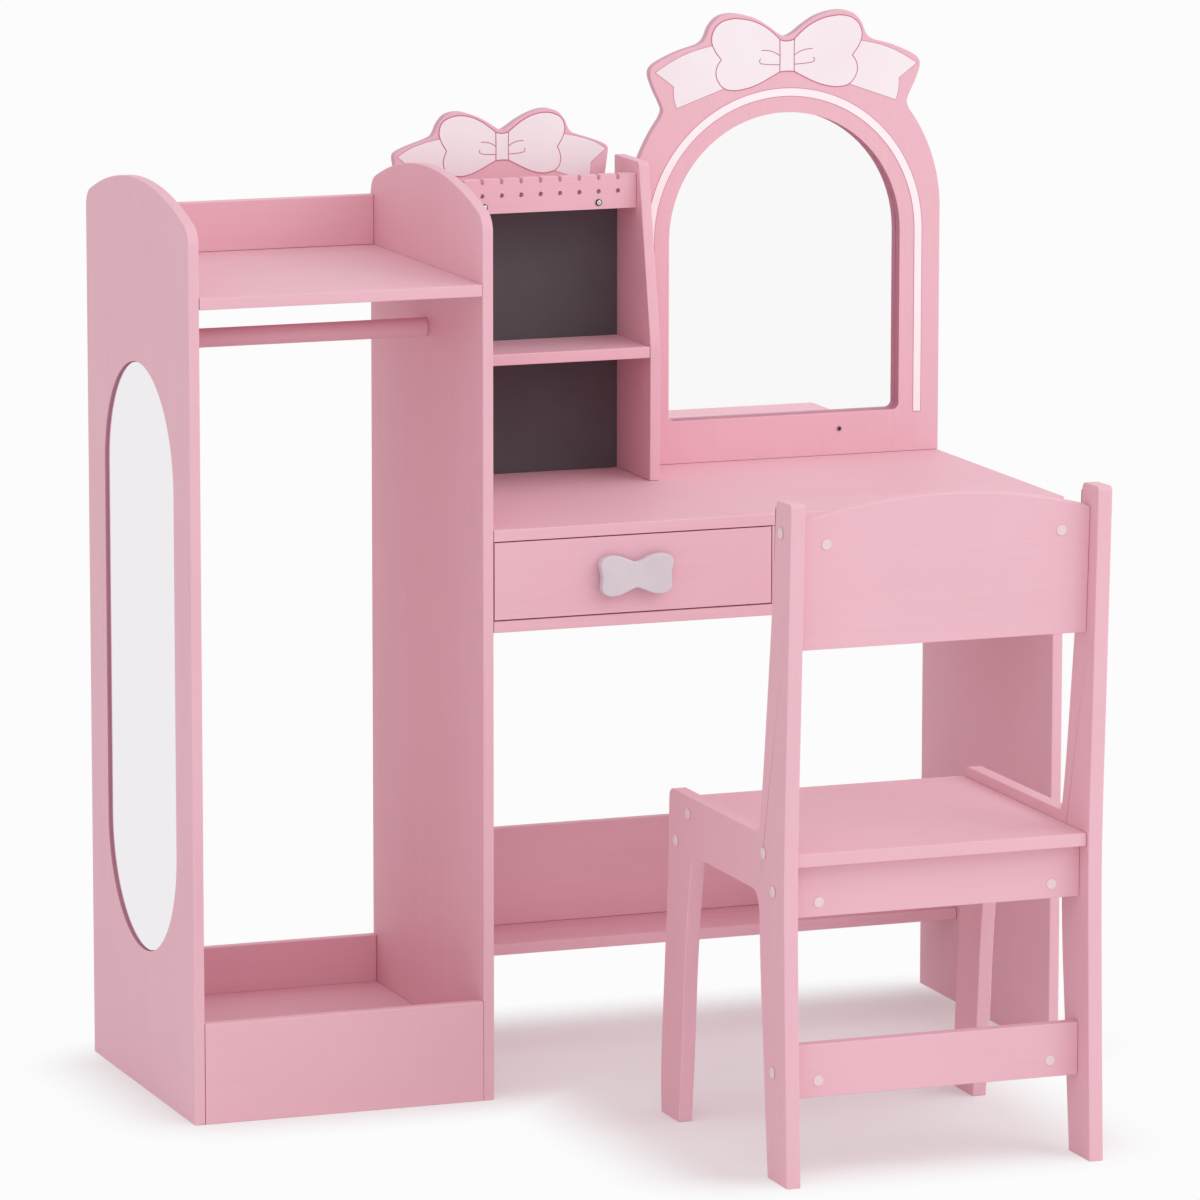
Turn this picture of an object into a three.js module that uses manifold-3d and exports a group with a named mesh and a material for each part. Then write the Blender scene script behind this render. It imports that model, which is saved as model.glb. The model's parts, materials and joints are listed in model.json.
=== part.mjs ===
// A child's vanity set in pink painted board: a narrow wardrobe with a side mirror, a desk with two
// drawers, a jewellery tower, an arched mirror board with a bow, and a small chair.
// Lengths are millimetres. +X is to the right, +Y is to the back and +Z is up.
import * as THREE from "three";
import { mergeVertices } from "three/addons/utils/BufferGeometryUtils.js";
import Module from "manifold-3d";

const wasm = await Module();
wasm.setup();

// Boards, joints and mirrors
const depth = 294;
const uprightThickness = 9.5;
const shelfThickness = 10;
const seam = 0.25; // hairline left in each joint between two pieces
const glassThickness = 2;
const cutOverrun = 1; // how far a cutting tool runs past the face that it enters

// Wardrobe
const wardrobeWidth = 270.25;
const wardrobeHeight = 793.5; // at the crest of its arched sides
const wardrobeArchRise = 28.75;
const wardrobeCornerRadius = 18;
const wardrobeShelfDrop = 85; // from the crest of the sides to the shelf
const wardrobeRailHeight = 43.75;
const rodDiameter = 16.5;
const rodDrop = 140;
const binHeight = 87.5;
const binFloorTop = 45.25;
const sideMirrorWidth = 200;
const sideMirrorBottom = 123.25;
const sideMirrorDrop = 158;
const sideMirrorPocketDepth = 5;
const sideMirrorClearance = 0.5;

// Desk
const deskHeight = 497.25;
const drawerOpeningHeight = 68.75;
const lowShelfTop = 87.5;
const lowShelfDepth = 85.5;
const lowShelfBackHeight = 88.5;

// Drawers
const drawerFrontGap = 1; // on all four sides of the front
const drawerBottomGap = 0.5; // under the box
const drawerBoxGap = 3.5; // beside each side wall
const drawerWallThickness = 9;
const drawerWallHeight = 48;
const drawerBottomThickness = 3;
const drawerRearGap = 20.5;

// Drawer knobs: a plate with two round lobes and a pinched waist, on a round boss
const knobWidth = 66.5;
const knobHeight = 35;
const knobPlateThickness = 8;
const knobOffset = -1.2; // from the middle of the drawer front
const knobEdgeRadius = 1;
const knobBossDiameter = 18;
const knobBossLength = 4;

// Jewellery tower, measured up from the desk top
const towerWidth = 229.25; // from the wardrobe to the outer face of the tower's side
const towerHeight = 280.5;
const towerFootDepth = 90.5;
const towerTopDepth = 60.75;
const towerSlantRise = 122.75;
const towerBendRadius = 60;
const towerCornerRadius = 6;
const towerShelfRise = 119.75;
const chalkboardThickness = 7.5;
const railSetback = 55.25; // from the back to the rail's face
const railRise = 239.25;
const railHeight = 30.5;
const railTopBoardRise = 240.25;
const headerShoulderRise = 255;
const headerBowRise = 324.75;
const headerBowInset = 10;

// Holes, notches and screws of the jewellery rail
const railHoleDiameter = 4.25;
const railHoleDrop = 14.75;
const railHoleInset = 17.35;
const railHolePitch = 18.15;
const railNotchWidth = 3;
const railNotchDepth = 5;
const railScrewInsets = { right: 35.75, left: 142.5 };
const railScrew = { head: 6, cap: 1.25, shank: 3, length: 24, slot: 0.75, slotLength: 3.75, slotDepth: 0.5 };

// Mirror board, measured up from the desk top
const mirrorBoardWidth = 300.5;
const mirrorBowRise = 402.5;
const mirrorBowInset = 20.625;
const mirrorArchRise = 220.75;
const mirrorFrameWidth = 39;
const mirrorOpeningArchRise = 201.5;
const mirrorOpeningBottomRise = 38.75;
const mirrorOpeningCornerRadius = 6;
const mirrorMargin = 8; // how far the glass runs past the opening
const mirrorBackingThickness = 3;
const mirrorScrewOffset = 53.5;
const mirrorScrewRise = 24;
const mirrorScrew = { head: 4.5, cap: 0.75, shank: 2.5, length: 8 };

// Chair, measured from the floor corner behind its rear left leg
const chairLeft = 390.25; // from the wardrobe's outer face
const chairStandoff = 378; // from the desk's front back to the rear feet
const chairWidth = 284.5;
const chairDepth = 289.5;
const chairHeight = 571;
const chairSideThickness = 12.5;
const chairBoardThickness = 11;
const chairRailTop = 287;
const chairRailHeight = 49.25;
const chairSeatDrop = 9.5; // from the side rails' top to the seat
const chairSeatInset = 13.25;
const chairSeatFrontInset = 14.5;
const chairApronHeight = 45;
const chairRearApronInset = 27.5;
const chairFrontApronInset = 29; // from the toes back to the apron
const chairStretcherInset = 26.5;
const chairStretcherBottom = 69;
const chairStretcherHeight = 45.25;
const chairBackDrop = 125; // from the top of the posts to the backrest's lower edge
const chairBackInset = 19.25;
const chairBackEndHeight = 106.5;
const chairBackCrestHeight = 124.5;
const chairBackLean = THREE.MathUtils.degToRad(2.86);
const chairBackScrewHeight = 98.25;
const chairSeatScrewInsets = { rear: 54.75, front: 62.75 };
const chairScrew = { head: 10, cap: 1, shank: 4, length: 36 };
const screwClearance = 0.3;

// Half a bow, one smooth curve from its middle notch to the root of its tail: shares of the bow's
// half-width, across and down from its top
const mirrorBowShares = {
  lobe: [[0, 0.168], [0.06, 0.144], [0.134, 0.091], [0.242, 0.03], [0.38, 0], [0.49, 0.017], [0.558, 0.082]],
  crease: [[0.598, 0.168], [0.65, 0.207]],
  tail: [[0.775, 0.243], [0.904, 0.296], [0.98, 0.343], [1, 0.398], [0.972, 0.488], [0.918, 0.603]],
  neck: [[0.904, 0.652]],
  root: 0.925,
};
const headerBowShares = {
  lobe: [[0, 0.174], [0.055, 0.15], [0.14, 0.094], [0.26, 0.034], [0.395, 0], [0.515, 0.022], [0.59, 0.1]],
  crease: [[0.636, 0.195], [0.7, 0.233]],
  tail: [[0.84, 0.279], [0.95, 0.322], [1, 0.363], [0.995, 0.45]],
  neck: [[0.978, 0.57]],
  root: 0.96,
};
// Right half of the knob plate, from its upper waist to its lower one: shares of half its width and height
const knobShares = {
  upperWaist: [0, 0.66],
  lobes: [
    [0.168, 0.765], [0.367, 0.925], [0.607, 1.02], [0.79, 0.995], [0.91, 0.905], [0.985, 0.745],
    [1, 0.525], [0.965, 0.2], [0.945, -0.1], [0.962, -0.38], [0.965, -0.62],
    [0.91, -0.82], [0.79, -0.945], [0.62, -0.975], [0.45, -0.92], [0.29, -0.81], [0.136, -0.675],
  ],
  lowerWaist: [0, -0.59],
};
// Edges of a chair side: shares of the chair's depth, and of the height that each edge runs up
const chairLegShares = {
  rear: [[0.149, 0], [0.172, 0.252], [0.191, 0.487], [0.212, 0.724], [0.222, 0.92]],
  rearTurn: [[0.228, 1], [0.285, 1]],
  frontTurn: [[0.705, 1], [0.757, 1], [0.767, 0.92]],
  front: [[0.787, 0.795], [0.812, 0.571], [0.829, 0.316], [0.855, 0]],
};
const chairFrontShares = {
  edge: [[1, 0], [1.002, 0.153], [0.978, 0.437], [0.953, 0.702], [0.942, 0.969]],
  turn: [[0.94, 1], [0.908, 1]],
};
const chairPostShares = {
  foot: [[0.248, 0], [0.228, 0]],
  front: [[0.221, 0.046], [0.197, 0.191], [0.14, 0.643], [0.114, 0.938], [0.109, 0.975]],
  crown: [[0.106, 0.997], [0.09, 0.998], [0.009, 1], [-0.008, 1], [-0.008, 0.982]],
};
const chairRearShares = [[0.0115, 0.736], [0.032, 0.46], [0.02, 0.23], [0, 0]];

// Fineness of curved edges
const arcSegments = 20;
const splineSegments = 8;
const bowSplits = 5; // straight stretches between two points of a bow
const holeSegments = 5;
const roundSegments = 12;
const rodSegments = 24;

// Derived sizes shared by several pieces
const towerRight = wardrobeWidth + towerWidth;
const overallWidth = towerRight + mirrorBoardWidth;
const wardrobeShelfTop = wardrobeHeight - wardrobeShelfDrop;
const drawerLength = depth - uprightThickness - drawerRearGap;
const railFront = depth - railSetback;
const wardrobeInside = [uprightThickness + seam, wardrobeWidth - uprightThickness - seam];
const deskInside = [wardrobeWidth + seam, overallWidth - uprightThickness - seam];
const rearFace = depth - uprightThickness; // front of every board that closes the back
const deskUnderside = deskHeight - shelfThickness;
const housingTop = deskUnderside - drawerOpeningHeight;
const deskMiddle = (wardrobeWidth + overallWidth - uprightThickness) / 2;
const onDesk = deskHeight + seam;
const towerInner = towerRight - uprightThickness;
const towerBay = [wardrobeWidth + seam, towerInner - seam];
const towerMiddle = (wardrobeWidth + towerInner) / 2;
const headerBowHalfWidth = (towerInner - wardrobeWidth) / 2 - headerBowInset;
const topBoardBottom = deskHeight + railTopBoardRise;
const mirrorMiddle = towerRight + mirrorBoardWidth / 2;
const mirrorBowHalfWidth = mirrorBoardWidth / 2 - mirrorBowInset;
const chairRailBottom = chairRailTop - chairRailHeight;
const chairInside = [chairSideThickness + seam, chairWidth - chairSideThickness - seam];
const chairSeatTop = chairRailTop - chairSeatDrop;
const chairSeatBottom = chairSeatTop - chairBoardThickness;
const chairApronMiddle = chairSeatBottom - seam - chairApronHeight / 2;
const chairFrontApronRear = chairDepth - chairFrontApronInset - chairBoardThickness;
const chairBackBottom = chairHeight - chairBackDrop;

// Finishes
const pinkPaint = new THREE.MeshStandardMaterial({ color: "#ebbcc8", roughness: 0.45, metalness: 0 });
const darkPanel = new THREE.MeshStandardMaterial({ color: "#584d53", roughness: 0.7, metalness: 0 });
const mirrorGlass = new THREE.MeshStandardMaterial({ color: "#eeeef0", roughness: 0.03, metalness: 1 });
const mirrorBacking = new THREE.MeshStandardMaterial({ color: "#9a8f86", roughness: 0.85, metalness: 0 });
const knobPlastic = new THREE.MeshStandardMaterial({ color: "#d5c9d0", roughness: 0.4, metalness: 0 });
const capPlastic = new THREE.MeshStandardMaterial({ color: "#f0dfe4", roughness: 0.4, metalness: 0 });
const screwSteel = new THREE.MeshStandardMaterial({ color: "#b9b4b6", roughness: 0.35, metalness: 1 });

// The limits in Z of a lying board, from the height of its upper face.
function lyingUnder(top) {
  return [top - shelfThickness, top];
}

// Gives a mesh its node name and returns it.
function named(name, mesh) {
  mesh.name = name;
  return mesh;
}

// A rectangular board between two limits along each axis.
function board(name, material, across, along, up) {
  const spans = [across, along, up];
  const geometry = new THREE.BoxGeometry(...spans.map(([low, high]) => high - low));
  const mesh = named(name, new THREE.Mesh(geometry, material));
  mesh.position.set(...spans.map(([low, high]) => (low + high) / 2));
  return mesh;
}

function extruded(shape, thickness, curveSegments = arcSegments) {
  return new THREE.ExtrudeGeometry(shape, { depth: thickness, bevelEnabled: false, curveSegments });
}

// A board drawn in the YZ plane, with its left face at the given X.
function sidePanel(name, material, shape, left, thickness, curveSegments) {
  const mesh = named(name, new THREE.Mesh(extruded(shape, thickness, curveSegments), material));
  mesh.rotation.set(Math.PI / 2, Math.PI / 2, 0);
  mesh.position.x = left;
  return mesh;
}

// A board drawn in the XZ plane, with its front face at the given Y.
function frontPanel(name, material, shape, front, thickness, curveSegments) {
  const mesh = named(name, new THREE.Mesh(extruded(shape, thickness, curveSegments), material));
  mesh.rotation.x = Math.PI / 2;
  mesh.position.y = front + thickness;
  return mesh;
}

// A round bar along X between two limits.
function barAcross(name, material, [low, high], y, z, diameter) {
  const radius = diameter / 2;
  const geometry = new THREE.CylinderGeometry(radius, radius, high - low, rodSegments);
  const mesh = named(name, new THREE.Mesh(geometry, material));
  mesh.rotation.z = Math.PI / 2;
  mesh.position.set((low + high) / 2, y, z);
  return mesh;
}

// A geometry, moved by a matrix, as a solid that can be cut and joined.
function solidOf(geometry, matrix) {
  const bare = geometry.clone().applyMatrix4(matrix);
  bare.deleteAttribute("normal");
  bare.deleteAttribute("uv");
  const merged = mergeVertices(bare);
  return new wasm.Manifold(
    new wasm.Mesh({
      numProp: 3,
      vertProperties: merged.attributes.position.array,
      triVerts: new Uint32Array(merged.index.array),
    }),
  );
}

function geometryOf(solid) {
  const made = solid.getMesh();
  const geometry = new THREE.BufferGeometry();
  geometry.setAttribute("position", new THREE.BufferAttribute(new Float32Array(made.vertProperties), 3));
  geometry.setIndex(new THREE.BufferAttribute(new Uint32Array(made.triVerts), 1));
  geometry.computeVertexNormals();
  return geometry;
}

// Cuts the tools out of a mesh, or joins them to it. All lie in the same group.
function combine(mesh, tools, operation) {
  mesh.updateMatrix();
  const toMesh = mesh.matrix.clone().invert();
  let solid = solidOf(mesh.geometry, new THREE.Matrix4());
  for (const tool of tools) {
    tool.updateMatrix();
    solid = solid[operation](solidOf(tool.geometry, toMesh.clone().multiply(tool.matrix)));
  }
  mesh.geometry = geometryOf(solid);
  return mesh;
}

// An outline with straight edges, whose corners are given as [x, y, radius].
function roundedOutline(corners) {
  const shape = new THREE.Shape();
  const points = corners.map(([x, y]) => new THREE.Vector2(x, y));
  corners.forEach(([x, y, radius = 0], i) => {
    const arriving = points[i].clone().sub(points.at(i - 1)).normalize();
    const leaving = points[(i + 1) % points.length].clone().sub(points[i]).normalize();
    const turn = Math.atan2(arriving.cross(leaving), arriving.dot(leaving));
    if (radius === 0) {
      if (i === 0) shape.moveTo(x, y);
      else shape.lineTo(x, y);
      return;
    }
    const side = Math.sign(turn);
    const start = points[i].clone().addScaledVector(arriving, -radius * Math.tan(Math.abs(turn) / 2));
    const inward = new THREE.Vector2(-arriving.y, arriving.x);
    const centre = start.clone().addScaledVector(inward, side * radius);
    const angle = Math.atan2(start.y - centre.y, start.x - centre.x);
    shape.absarc(centre.x, centre.y, radius, angle, angle + turn, side < 0);
  });
  shape.closePath();
  return shape;
}

// A screw whose head stands on a surface: its axis is local Y and its head points to +Y.
function screw(name, material, size) {
  const profile = [
    [0, -size.length],
    [size.shank / 2, -size.length],
    [size.shank / 2, seam],
    [size.head / 2, seam],
    [size.head / 2, seam + size.cap / 2],
    [size.head / 2 - size.cap / 2, seam + size.cap],
    [0, seam + size.cap],
  ].map(([x, y]) => new THREE.Vector2(x, y));
  return named(name, new THREE.Mesh(new THREE.LatheGeometry(profile, roundSegments), material));
}

// The bore that a screw's shank needs, in the same place as the screw.
function boreFor(screwMesh, size) {
  const radius = size.shank / 2 + screwClearance;
  const length = size.length + screwClearance + cutOverrun;
  const geometry = new THREE.CylinderGeometry(radius, radius, length, roundSegments);
  geometry.translate(0, cutOverrun - length / 2, 0);
  const bore = new THREE.Mesh(geometry);
  bore.position.copy(screwMesh.position);
  bore.rotation.copy(screwMesh.rotation);
  return bore;
}

// The two crossed slots in a screw's head.
function crossSlots(size) {
  return [0, Math.PI / 2].map((turn) => {
    const deep = size.slotDepth + cutOverrun;
    const slot = new THREE.Mesh(new THREE.BoxGeometry(size.slotLength, deep, size.slot));
    slot.rotation.y = turn;
    slot.position.y = seam + size.cap - size.slotDepth + deep / 2;
    return slot;
  });
}

// One bow edge, right to left, from root to root, over a piece centred on x = 0.
function traceBow(shape, shares, halfWidth, top, leftRoot) {
  const half = [...shares.lobe, ...shares.crease, ...shares.tail, ...shares.neck];
  const place = (side) => ([across, down]) =>
    new THREE.Vector2(side * across * halfWidth, top - down * halfWidth);
  const right = half.map(place(1)).reverse();
  const left = half.slice(1).map(place(-1));
  const rightRoot = new THREE.Vector2(-leftRoot.x, leftRoot.y);
  const points = [rightRoot, ...right, ...left, leftRoot];
  const edge = new THREE.SplineCurve(points).getPoints(bowSplits * (points.length - 1));
  edge.slice(1).forEach((point) => shape.lineTo(point.x, point.y));
}

// An arched opening or sheet centred on x = 0, with its bottom corners rounded.
function traceArch(path, halfWidth, bottom, springing, cornerRadius) {
  path.moveTo(cornerRadius - halfWidth, bottom);
  path.lineTo(halfWidth - cornerRadius, bottom);
  path.absarc(halfWidth - cornerRadius, bottom + cornerRadius, cornerRadius, -Math.PI / 2, 0);
  path.absarc(0, springing, halfWidth, 0, Math.PI);
  path.absarc(cornerRadius - halfWidth, bottom + cornerRadius, cornerRadius, Math.PI, 1.5 * Math.PI);
  path.closePath();
  return path;
}

// The wardrobe's side: straight edges, rounded shoulders and a flat arch on top.
function wardrobeSideOutline() {
  const archRadius = (depth ** 2 / 4 + wardrobeArchRise ** 2) / (2 * wardrobeArchRise);
  const archCentre = wardrobeHeight - archRadius;
  const shoulder = depth / 2 - wardrobeCornerRadius;
  const shoulderCentre = archCentre + Math.sqrt((archRadius - wardrobeCornerRadius) ** 2 - shoulder ** 2);
  const turn = Math.atan2(shoulderCentre - archCentre, shoulder);
  const shape = new THREE.Shape();
  shape.moveTo(0, 0);
  shape.lineTo(depth, 0);
  shape.absarc(depth - wardrobeCornerRadius, shoulderCentre, wardrobeCornerRadius, 0, turn);
  shape.absarc(depth / 2, archCentre, archRadius, turn, Math.PI - turn);
  shape.absarc(wardrobeCornerRadius, shoulderCentre, wardrobeCornerRadius, Math.PI - turn, Math.PI);
  shape.closePath();
  return shape;
}

// The side mirror's outline: straight sides and round ends, smaller all round by the clearance.
function sideMirrorOutline(clearance) {
  const endRadius = sideMirrorWidth / 2;
  const upperCentre = wardrobeHeight - sideMirrorDrop - endRadius;
  const shape = new THREE.Shape();
  shape.absarc(depth / 2, sideMirrorBottom + endRadius, endRadius - clearance, Math.PI, 2 * Math.PI);
  shape.absarc(depth / 2, upperCentre, endRadius - clearance, 0, Math.PI);
  shape.closePath();
  return shape;
}

// The wardrobe's left side, with a shallow pocket in its outer face for the side mirror.
function wardrobeLeftSide(outline) {
  const side = sidePanel("wardrobe_left_side", pinkPaint, outline, 0, uprightThickness);
  const pocketLength = sideMirrorPocketDepth + cutOverrun;
  const pocket = sidePanel("", pinkPaint, sideMirrorOutline(0), -cutOverrun, pocketLength);
  return combine(side, [pocket], "subtract");
}

function wardrobe() {
  const outline = wardrobeSideOutline();
  const glass = sideMirrorOutline(sideMirrorClearance);
  const glassLeft = sideMirrorPocketDepth - seam - glassThickness;
  const rightSideLeft = wardrobeWidth - uprightThickness;
  const railBottom = wardrobeShelfTop + seam;
  const backRail = [railBottom, railBottom + wardrobeRailHeight];
  const betweenBinBoards = [uprightThickness + seam, rearFace - seam];
  const rodHeight = wardrobeHeight - rodDrop;
  const group = new THREE.Group();
  group.add(
    wardrobeLeftSide(outline),
    sidePanel("wardrobe_right_side", pinkPaint, outline, rightSideLeft, uprightThickness),
    sidePanel("side_mirror", mirrorGlass, glass, glassLeft, glassThickness),
    board("wardrobe_shelf", pinkPaint, wardrobeInside, [0, depth], lyingUnder(wardrobeShelfTop)),
    board("wardrobe_back_rail", pinkPaint, wardrobeInside, [rearFace, depth], backRail),
    barAcross("hanging_rod", pinkPaint, wardrobeInside, depth / 2, rodHeight, rodDiameter),
    board("bin_front", pinkPaint, wardrobeInside, [0, uprightThickness], [0, binHeight]),
    board("bin_back", pinkPaint, wardrobeInside, [rearFace, depth], [0, binHeight]),
    board("bin_floor", pinkPaint, wardrobeInside, betweenBinBoards, lyingUnder(binFloorTop)),
  );
  return group;
}

function desk() {
  const wholeDepth = [0, depth];
  const middle = [deskMiddle - uprightThickness / 2, deskMiddle + uprightThickness / 2];
  const rightSide = [overallWidth - uprightThickness, overallWidth];
  const housing = [housingTop + seam, deskUnderside - seam];
  const shelfBackBottom = lowShelfTop + seam;
  const shelfBack = [shelfBackBottom, shelfBackBottom + lowShelfBackHeight];
  const group = new THREE.Group();
  group.add(
    board("desk_top", pinkPaint, [wardrobeWidth + seam, overallWidth], wholeDepth, lyingUnder(deskHeight)),
    board("desk_right_side", pinkPaint, rightSide, wholeDepth, [0, deskUnderside - seam]),
    board("drawer_housing_floor", pinkPaint, deskInside, wholeDepth, lyingUnder(housingTop)),
    board("drawer_divider", pinkPaint, middle, [0, rearFace - seam], housing),
    board("desk_rear_apron", pinkPaint, deskInside, [rearFace, depth], housing),
    board("low_shelf", pinkPaint, deskInside, [depth - lowShelfDepth, depth], lyingUnder(lowShelfTop)),
    board("low_shelf_back", pinkPaint, deskInside, [rearFace, depth], shelfBack),
  );
  return group;
}

// The knob plate's outline, centred on the origin.
function knobOutline() {
  const half = new THREE.Vector2(knobWidth / 2, knobHeight / 2);
  const place = ([across, up], side) => new THREE.Vector2(side * across, up).multiply(half);
  const { upperWaist, lobes, lowerWaist } = knobShares;
  const right = lobes.toReversed().map((point) => place(point, 1));
  const left = lobes.map((point) => place(point, -1));
  const start = place(lowerWaist, 1);
  const others = [...right, place(upperWaist, 1), ...left];
  const shape = new THREE.Shape();
  shape.moveTo(start.x, start.y);
  shape.splineThru([...others, start]);
  return shape;
}

// The knob in front of the drawer front's face, which lies at y = 0.
function knob(name) {
  const plate = knobOutline();
  const geometry = new THREE.ExtrudeGeometry(plate, {
    depth: knobPlateThickness - 2 * knobEdgeRadius,
    bevelThickness: knobEdgeRadius,
    bevelSize: knobEdgeRadius,
    bevelOffset: -knobEdgeRadius,
    bevelSegments: 3,
    curveSegments: 2,
  });
  const mesh = named(name, new THREE.Mesh(geometry, knobPlastic));
  mesh.rotation.x = Math.PI / 2;
  mesh.position.y = -seam - knobBossLength - knobEdgeRadius;
  const bossLength = knobBossLength + knobPlateThickness / 2;
  const radius = knobBossDiameter / 2;
  const boss = new THREE.Mesh(new THREE.CylinderGeometry(radius, radius, bossLength, roundSegments));
  boss.position.y = -seam - bossLength / 2;
  return combine(mesh, [boss], "add");
}

// One drawer in the bay that starts at the given X.
function drawer(prefix, bayLeft, bayWidth) {
  const front = [bayLeft + drawerFrontGap, bayLeft + bayWidth - drawerFrontGap];
  const box = [bayLeft + drawerBoxGap, bayLeft + bayWidth - drawerBoxGap];
  const bottom = housingTop + drawerBottomGap;
  const frontHeights = [housingTop + drawerFrontGap, deskUnderside - drawerFrontGap];
  const boxFront = uprightThickness + seam;
  const bottomTop = bottom + drawerBottomThickness;
  const wallBottom = bottomTop + seam;
  const walls = [wallBottom, wallBottom + drawerWallHeight];
  const leftWall = [box[0], box[0] + drawerWallThickness];
  const rightWall = [box[1] - drawerWallThickness, box[1]];
  const rear = [drawerLength - drawerWallThickness, drawerLength];
  const knobMesh = knob(prefix + "_knob");
  knobMesh.position.x = (front[0] + front[1]) / 2 + knobOffset;
  knobMesh.position.z = (frontHeights[0] + frontHeights[1]) / 2;
  const group = new THREE.Group();
  group.add(
    board(prefix + "_front", pinkPaint, front, [0, uprightThickness], frontHeights),
    board(prefix + "_left_wall", pinkPaint, leftWall, [boxFront, drawerLength], walls),
    board(prefix + "_right_wall", pinkPaint, rightWall, [boxFront, drawerLength], walls),
    board(prefix + "_rear_wall", pinkPaint, [leftWall[1] + seam, rightWall[0] - seam], rear, walls),
    board(prefix + "_bottom", pinkPaint, box, [boxFront, drawerLength], [bottom, bottomTop]),
    knobMesh,
  );
  return group;
}

function drawers() {
  const bayWidth = deskMiddle - uprightThickness / 2 - wardrobeWidth;
  const group = new THREE.Group();
  group.add(
    drawer("drawer_left", wardrobeWidth, bayWidth),
    drawer("drawer_right", deskMiddle + uprightThickness / 2, bayWidth),
  );
  return group;
}

// The tower's side: a straight foot, then a front edge that slants back to a rounded corner.
function towerSideOutline() {
  const top = deskHeight + towerHeight;
  return roundedOutline([
    [depth - towerFootDepth, onDesk],
    [depth, onDesk],
    [depth, top],
    [depth - towerTopDepth, top, towerCornerRadius],
    [depth - towerFootDepth, deskHeight + towerSlantRise, towerBendRadius],
  ]);
}

// The jewellery rail: a row of keyhole notches in its top edge, each over a round hole.
function railOutline() {
  const bottom = deskHeight + railRise;
  const top = bottom + railHeight;
  const holeHeight = top - railHoleDrop;
  const notchRadius = railNotchWidth / 2;
  const notchCentre = top - railNotchDepth + notchRadius;
  const [left, right] = towerBay;
  const lastHole = wardrobeWidth + railHoleInset;
  const shape = new THREE.Shape();
  shape.moveTo(left, bottom);
  shape.lineTo(right, bottom);
  shape.lineTo(right, top);
  for (let x = towerInner - railHoleInset; x >= lastHole; x -= railHolePitch) {
    shape.lineTo(x + notchRadius, top);
    shape.absarc(x, notchCentre, notchRadius, 0, -Math.PI, true);
    shape.lineTo(x - notchRadius, top);
    shape.holes.push(new THREE.Path().absarc(x, holeHeight, railHoleDiameter / 2, 0, 2 * Math.PI));
  }
  shape.lineTo(left, top);
  shape.closePath();
  return shape;
}

// The board behind the tower's top, cut to a bow above the rail.
function headerOutline() {
  const halfBay = (towerInner - wardrobeWidth) / 2 - seam;
  const bottom = topBoardBottom;
  const shoulder = deskHeight + headerShoulderRise;
  const root = headerBowShares.root * headerBowHalfWidth;
  const shape = new THREE.Shape();
  shape.moveTo(-halfBay, bottom);
  shape.lineTo(halfBay, bottom);
  shape.lineTo(halfBay, shoulder);
  shape.lineTo(root, shoulder);
  const leftRoot = new THREE.Vector2(-root, shoulder);
  traceBow(shape, headerBowShares, headerBowHalfWidth, deskHeight + headerBowRise, leftRoot);
  shape.lineTo(-halfBay, shoulder);
  shape.closePath();
  return shape;
}

function railScrewAt(side) {
  const mesh = combine(screw("rail_screw_" + side, screwSteel, railScrew), crossSlots(railScrew), "subtract");
  mesh.rotation.x = Math.PI;
  mesh.position.set(towerInner - railScrewInsets[side], railFront, topBoardBottom + shelfThickness / 2);
  return mesh;
}

function tower() {
  const bow = headerOutline();
  const header = frontPanel("tower_header", pinkPaint, bow, rearFace, uprightThickness);
  header.position.x = towerMiddle;
  const screws = Object.keys(railScrewInsets).map(railScrewAt);
  const bores = screws.map((mesh) => boreFor(mesh, railScrew));
  const notched = railOutline();
  const rail = frontPanel("jewellery_rail", pinkPaint, notched, railFront, uprightThickness, holeSegments);
  const behindRail = [railFront + uprightThickness + seam, rearFace - seam];
  const topBoardTop = topBoardBottom + shelfThickness;
  const topBoard = board("tower_top_board", pinkPaint, towerBay, behindRail, lyingUnder(topBoardTop));
  const chalkboardFront = depth - chalkboardThickness;
  const shelfDepth = [depth - towerFootDepth, chalkboardFront - seam];
  const group = new THREE.Group();
  group.add(
    sidePanel("tower_side", pinkPaint, towerSideOutline(), towerInner, uprightThickness),
    board("chalkboard_panel", darkPanel, towerBay, [chalkboardFront, depth], [onDesk, topBoardBottom - seam]),
    board("tower_shelf", pinkPaint, towerBay, shelfDepth, lyingUnder(deskHeight + towerShelfRise)),
    combine(topBoard, bores, "subtract"),
    combine(rail, bores, "subtract"),
    header,
    ...screws,
  );
  return group;
}

// The mirror board: straight sides, an arch that carries the bow, and the arched opening.
function mirrorBoardOutline() {
  const halfWidth = (mirrorBoardWidth - seam) / 2;
  const archCentre = deskHeight + mirrorArchRise;
  const root = mirrorBowShares.root * mirrorBowHalfWidth;
  const rootAngle = Math.acos(root / halfWidth);
  const rootHeight = archCentre + halfWidth * Math.sin(rootAngle);
  const shape = new THREE.Shape();
  shape.moveTo(-halfWidth, onDesk);
  shape.lineTo(halfWidth, onDesk);
  shape.absarc(0, archCentre, halfWidth, 0, rootAngle);
  const leftRoot = new THREE.Vector2(-root, rootHeight);
  traceBow(shape, mirrorBowShares, mirrorBowHalfWidth, deskHeight + mirrorBowRise, leftRoot);
  shape.absarc(0, archCentre, halfWidth, Math.PI - rootAngle, Math.PI);
  shape.closePath();
  shape.holes.push(mirrorOpening(new THREE.Path(), 0));
  return shape;
}

// The mirror's opening, grown all round by the margin.
function mirrorOpening(path, margin) {
  return traceArch(
    path,
    mirrorBoardWidth / 2 - mirrorFrameWidth + margin,
    deskHeight + mirrorOpeningBottomRise - margin,
    deskHeight + mirrorOpeningArchRise,
    mirrorOpeningCornerRadius,
  );
}

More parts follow.
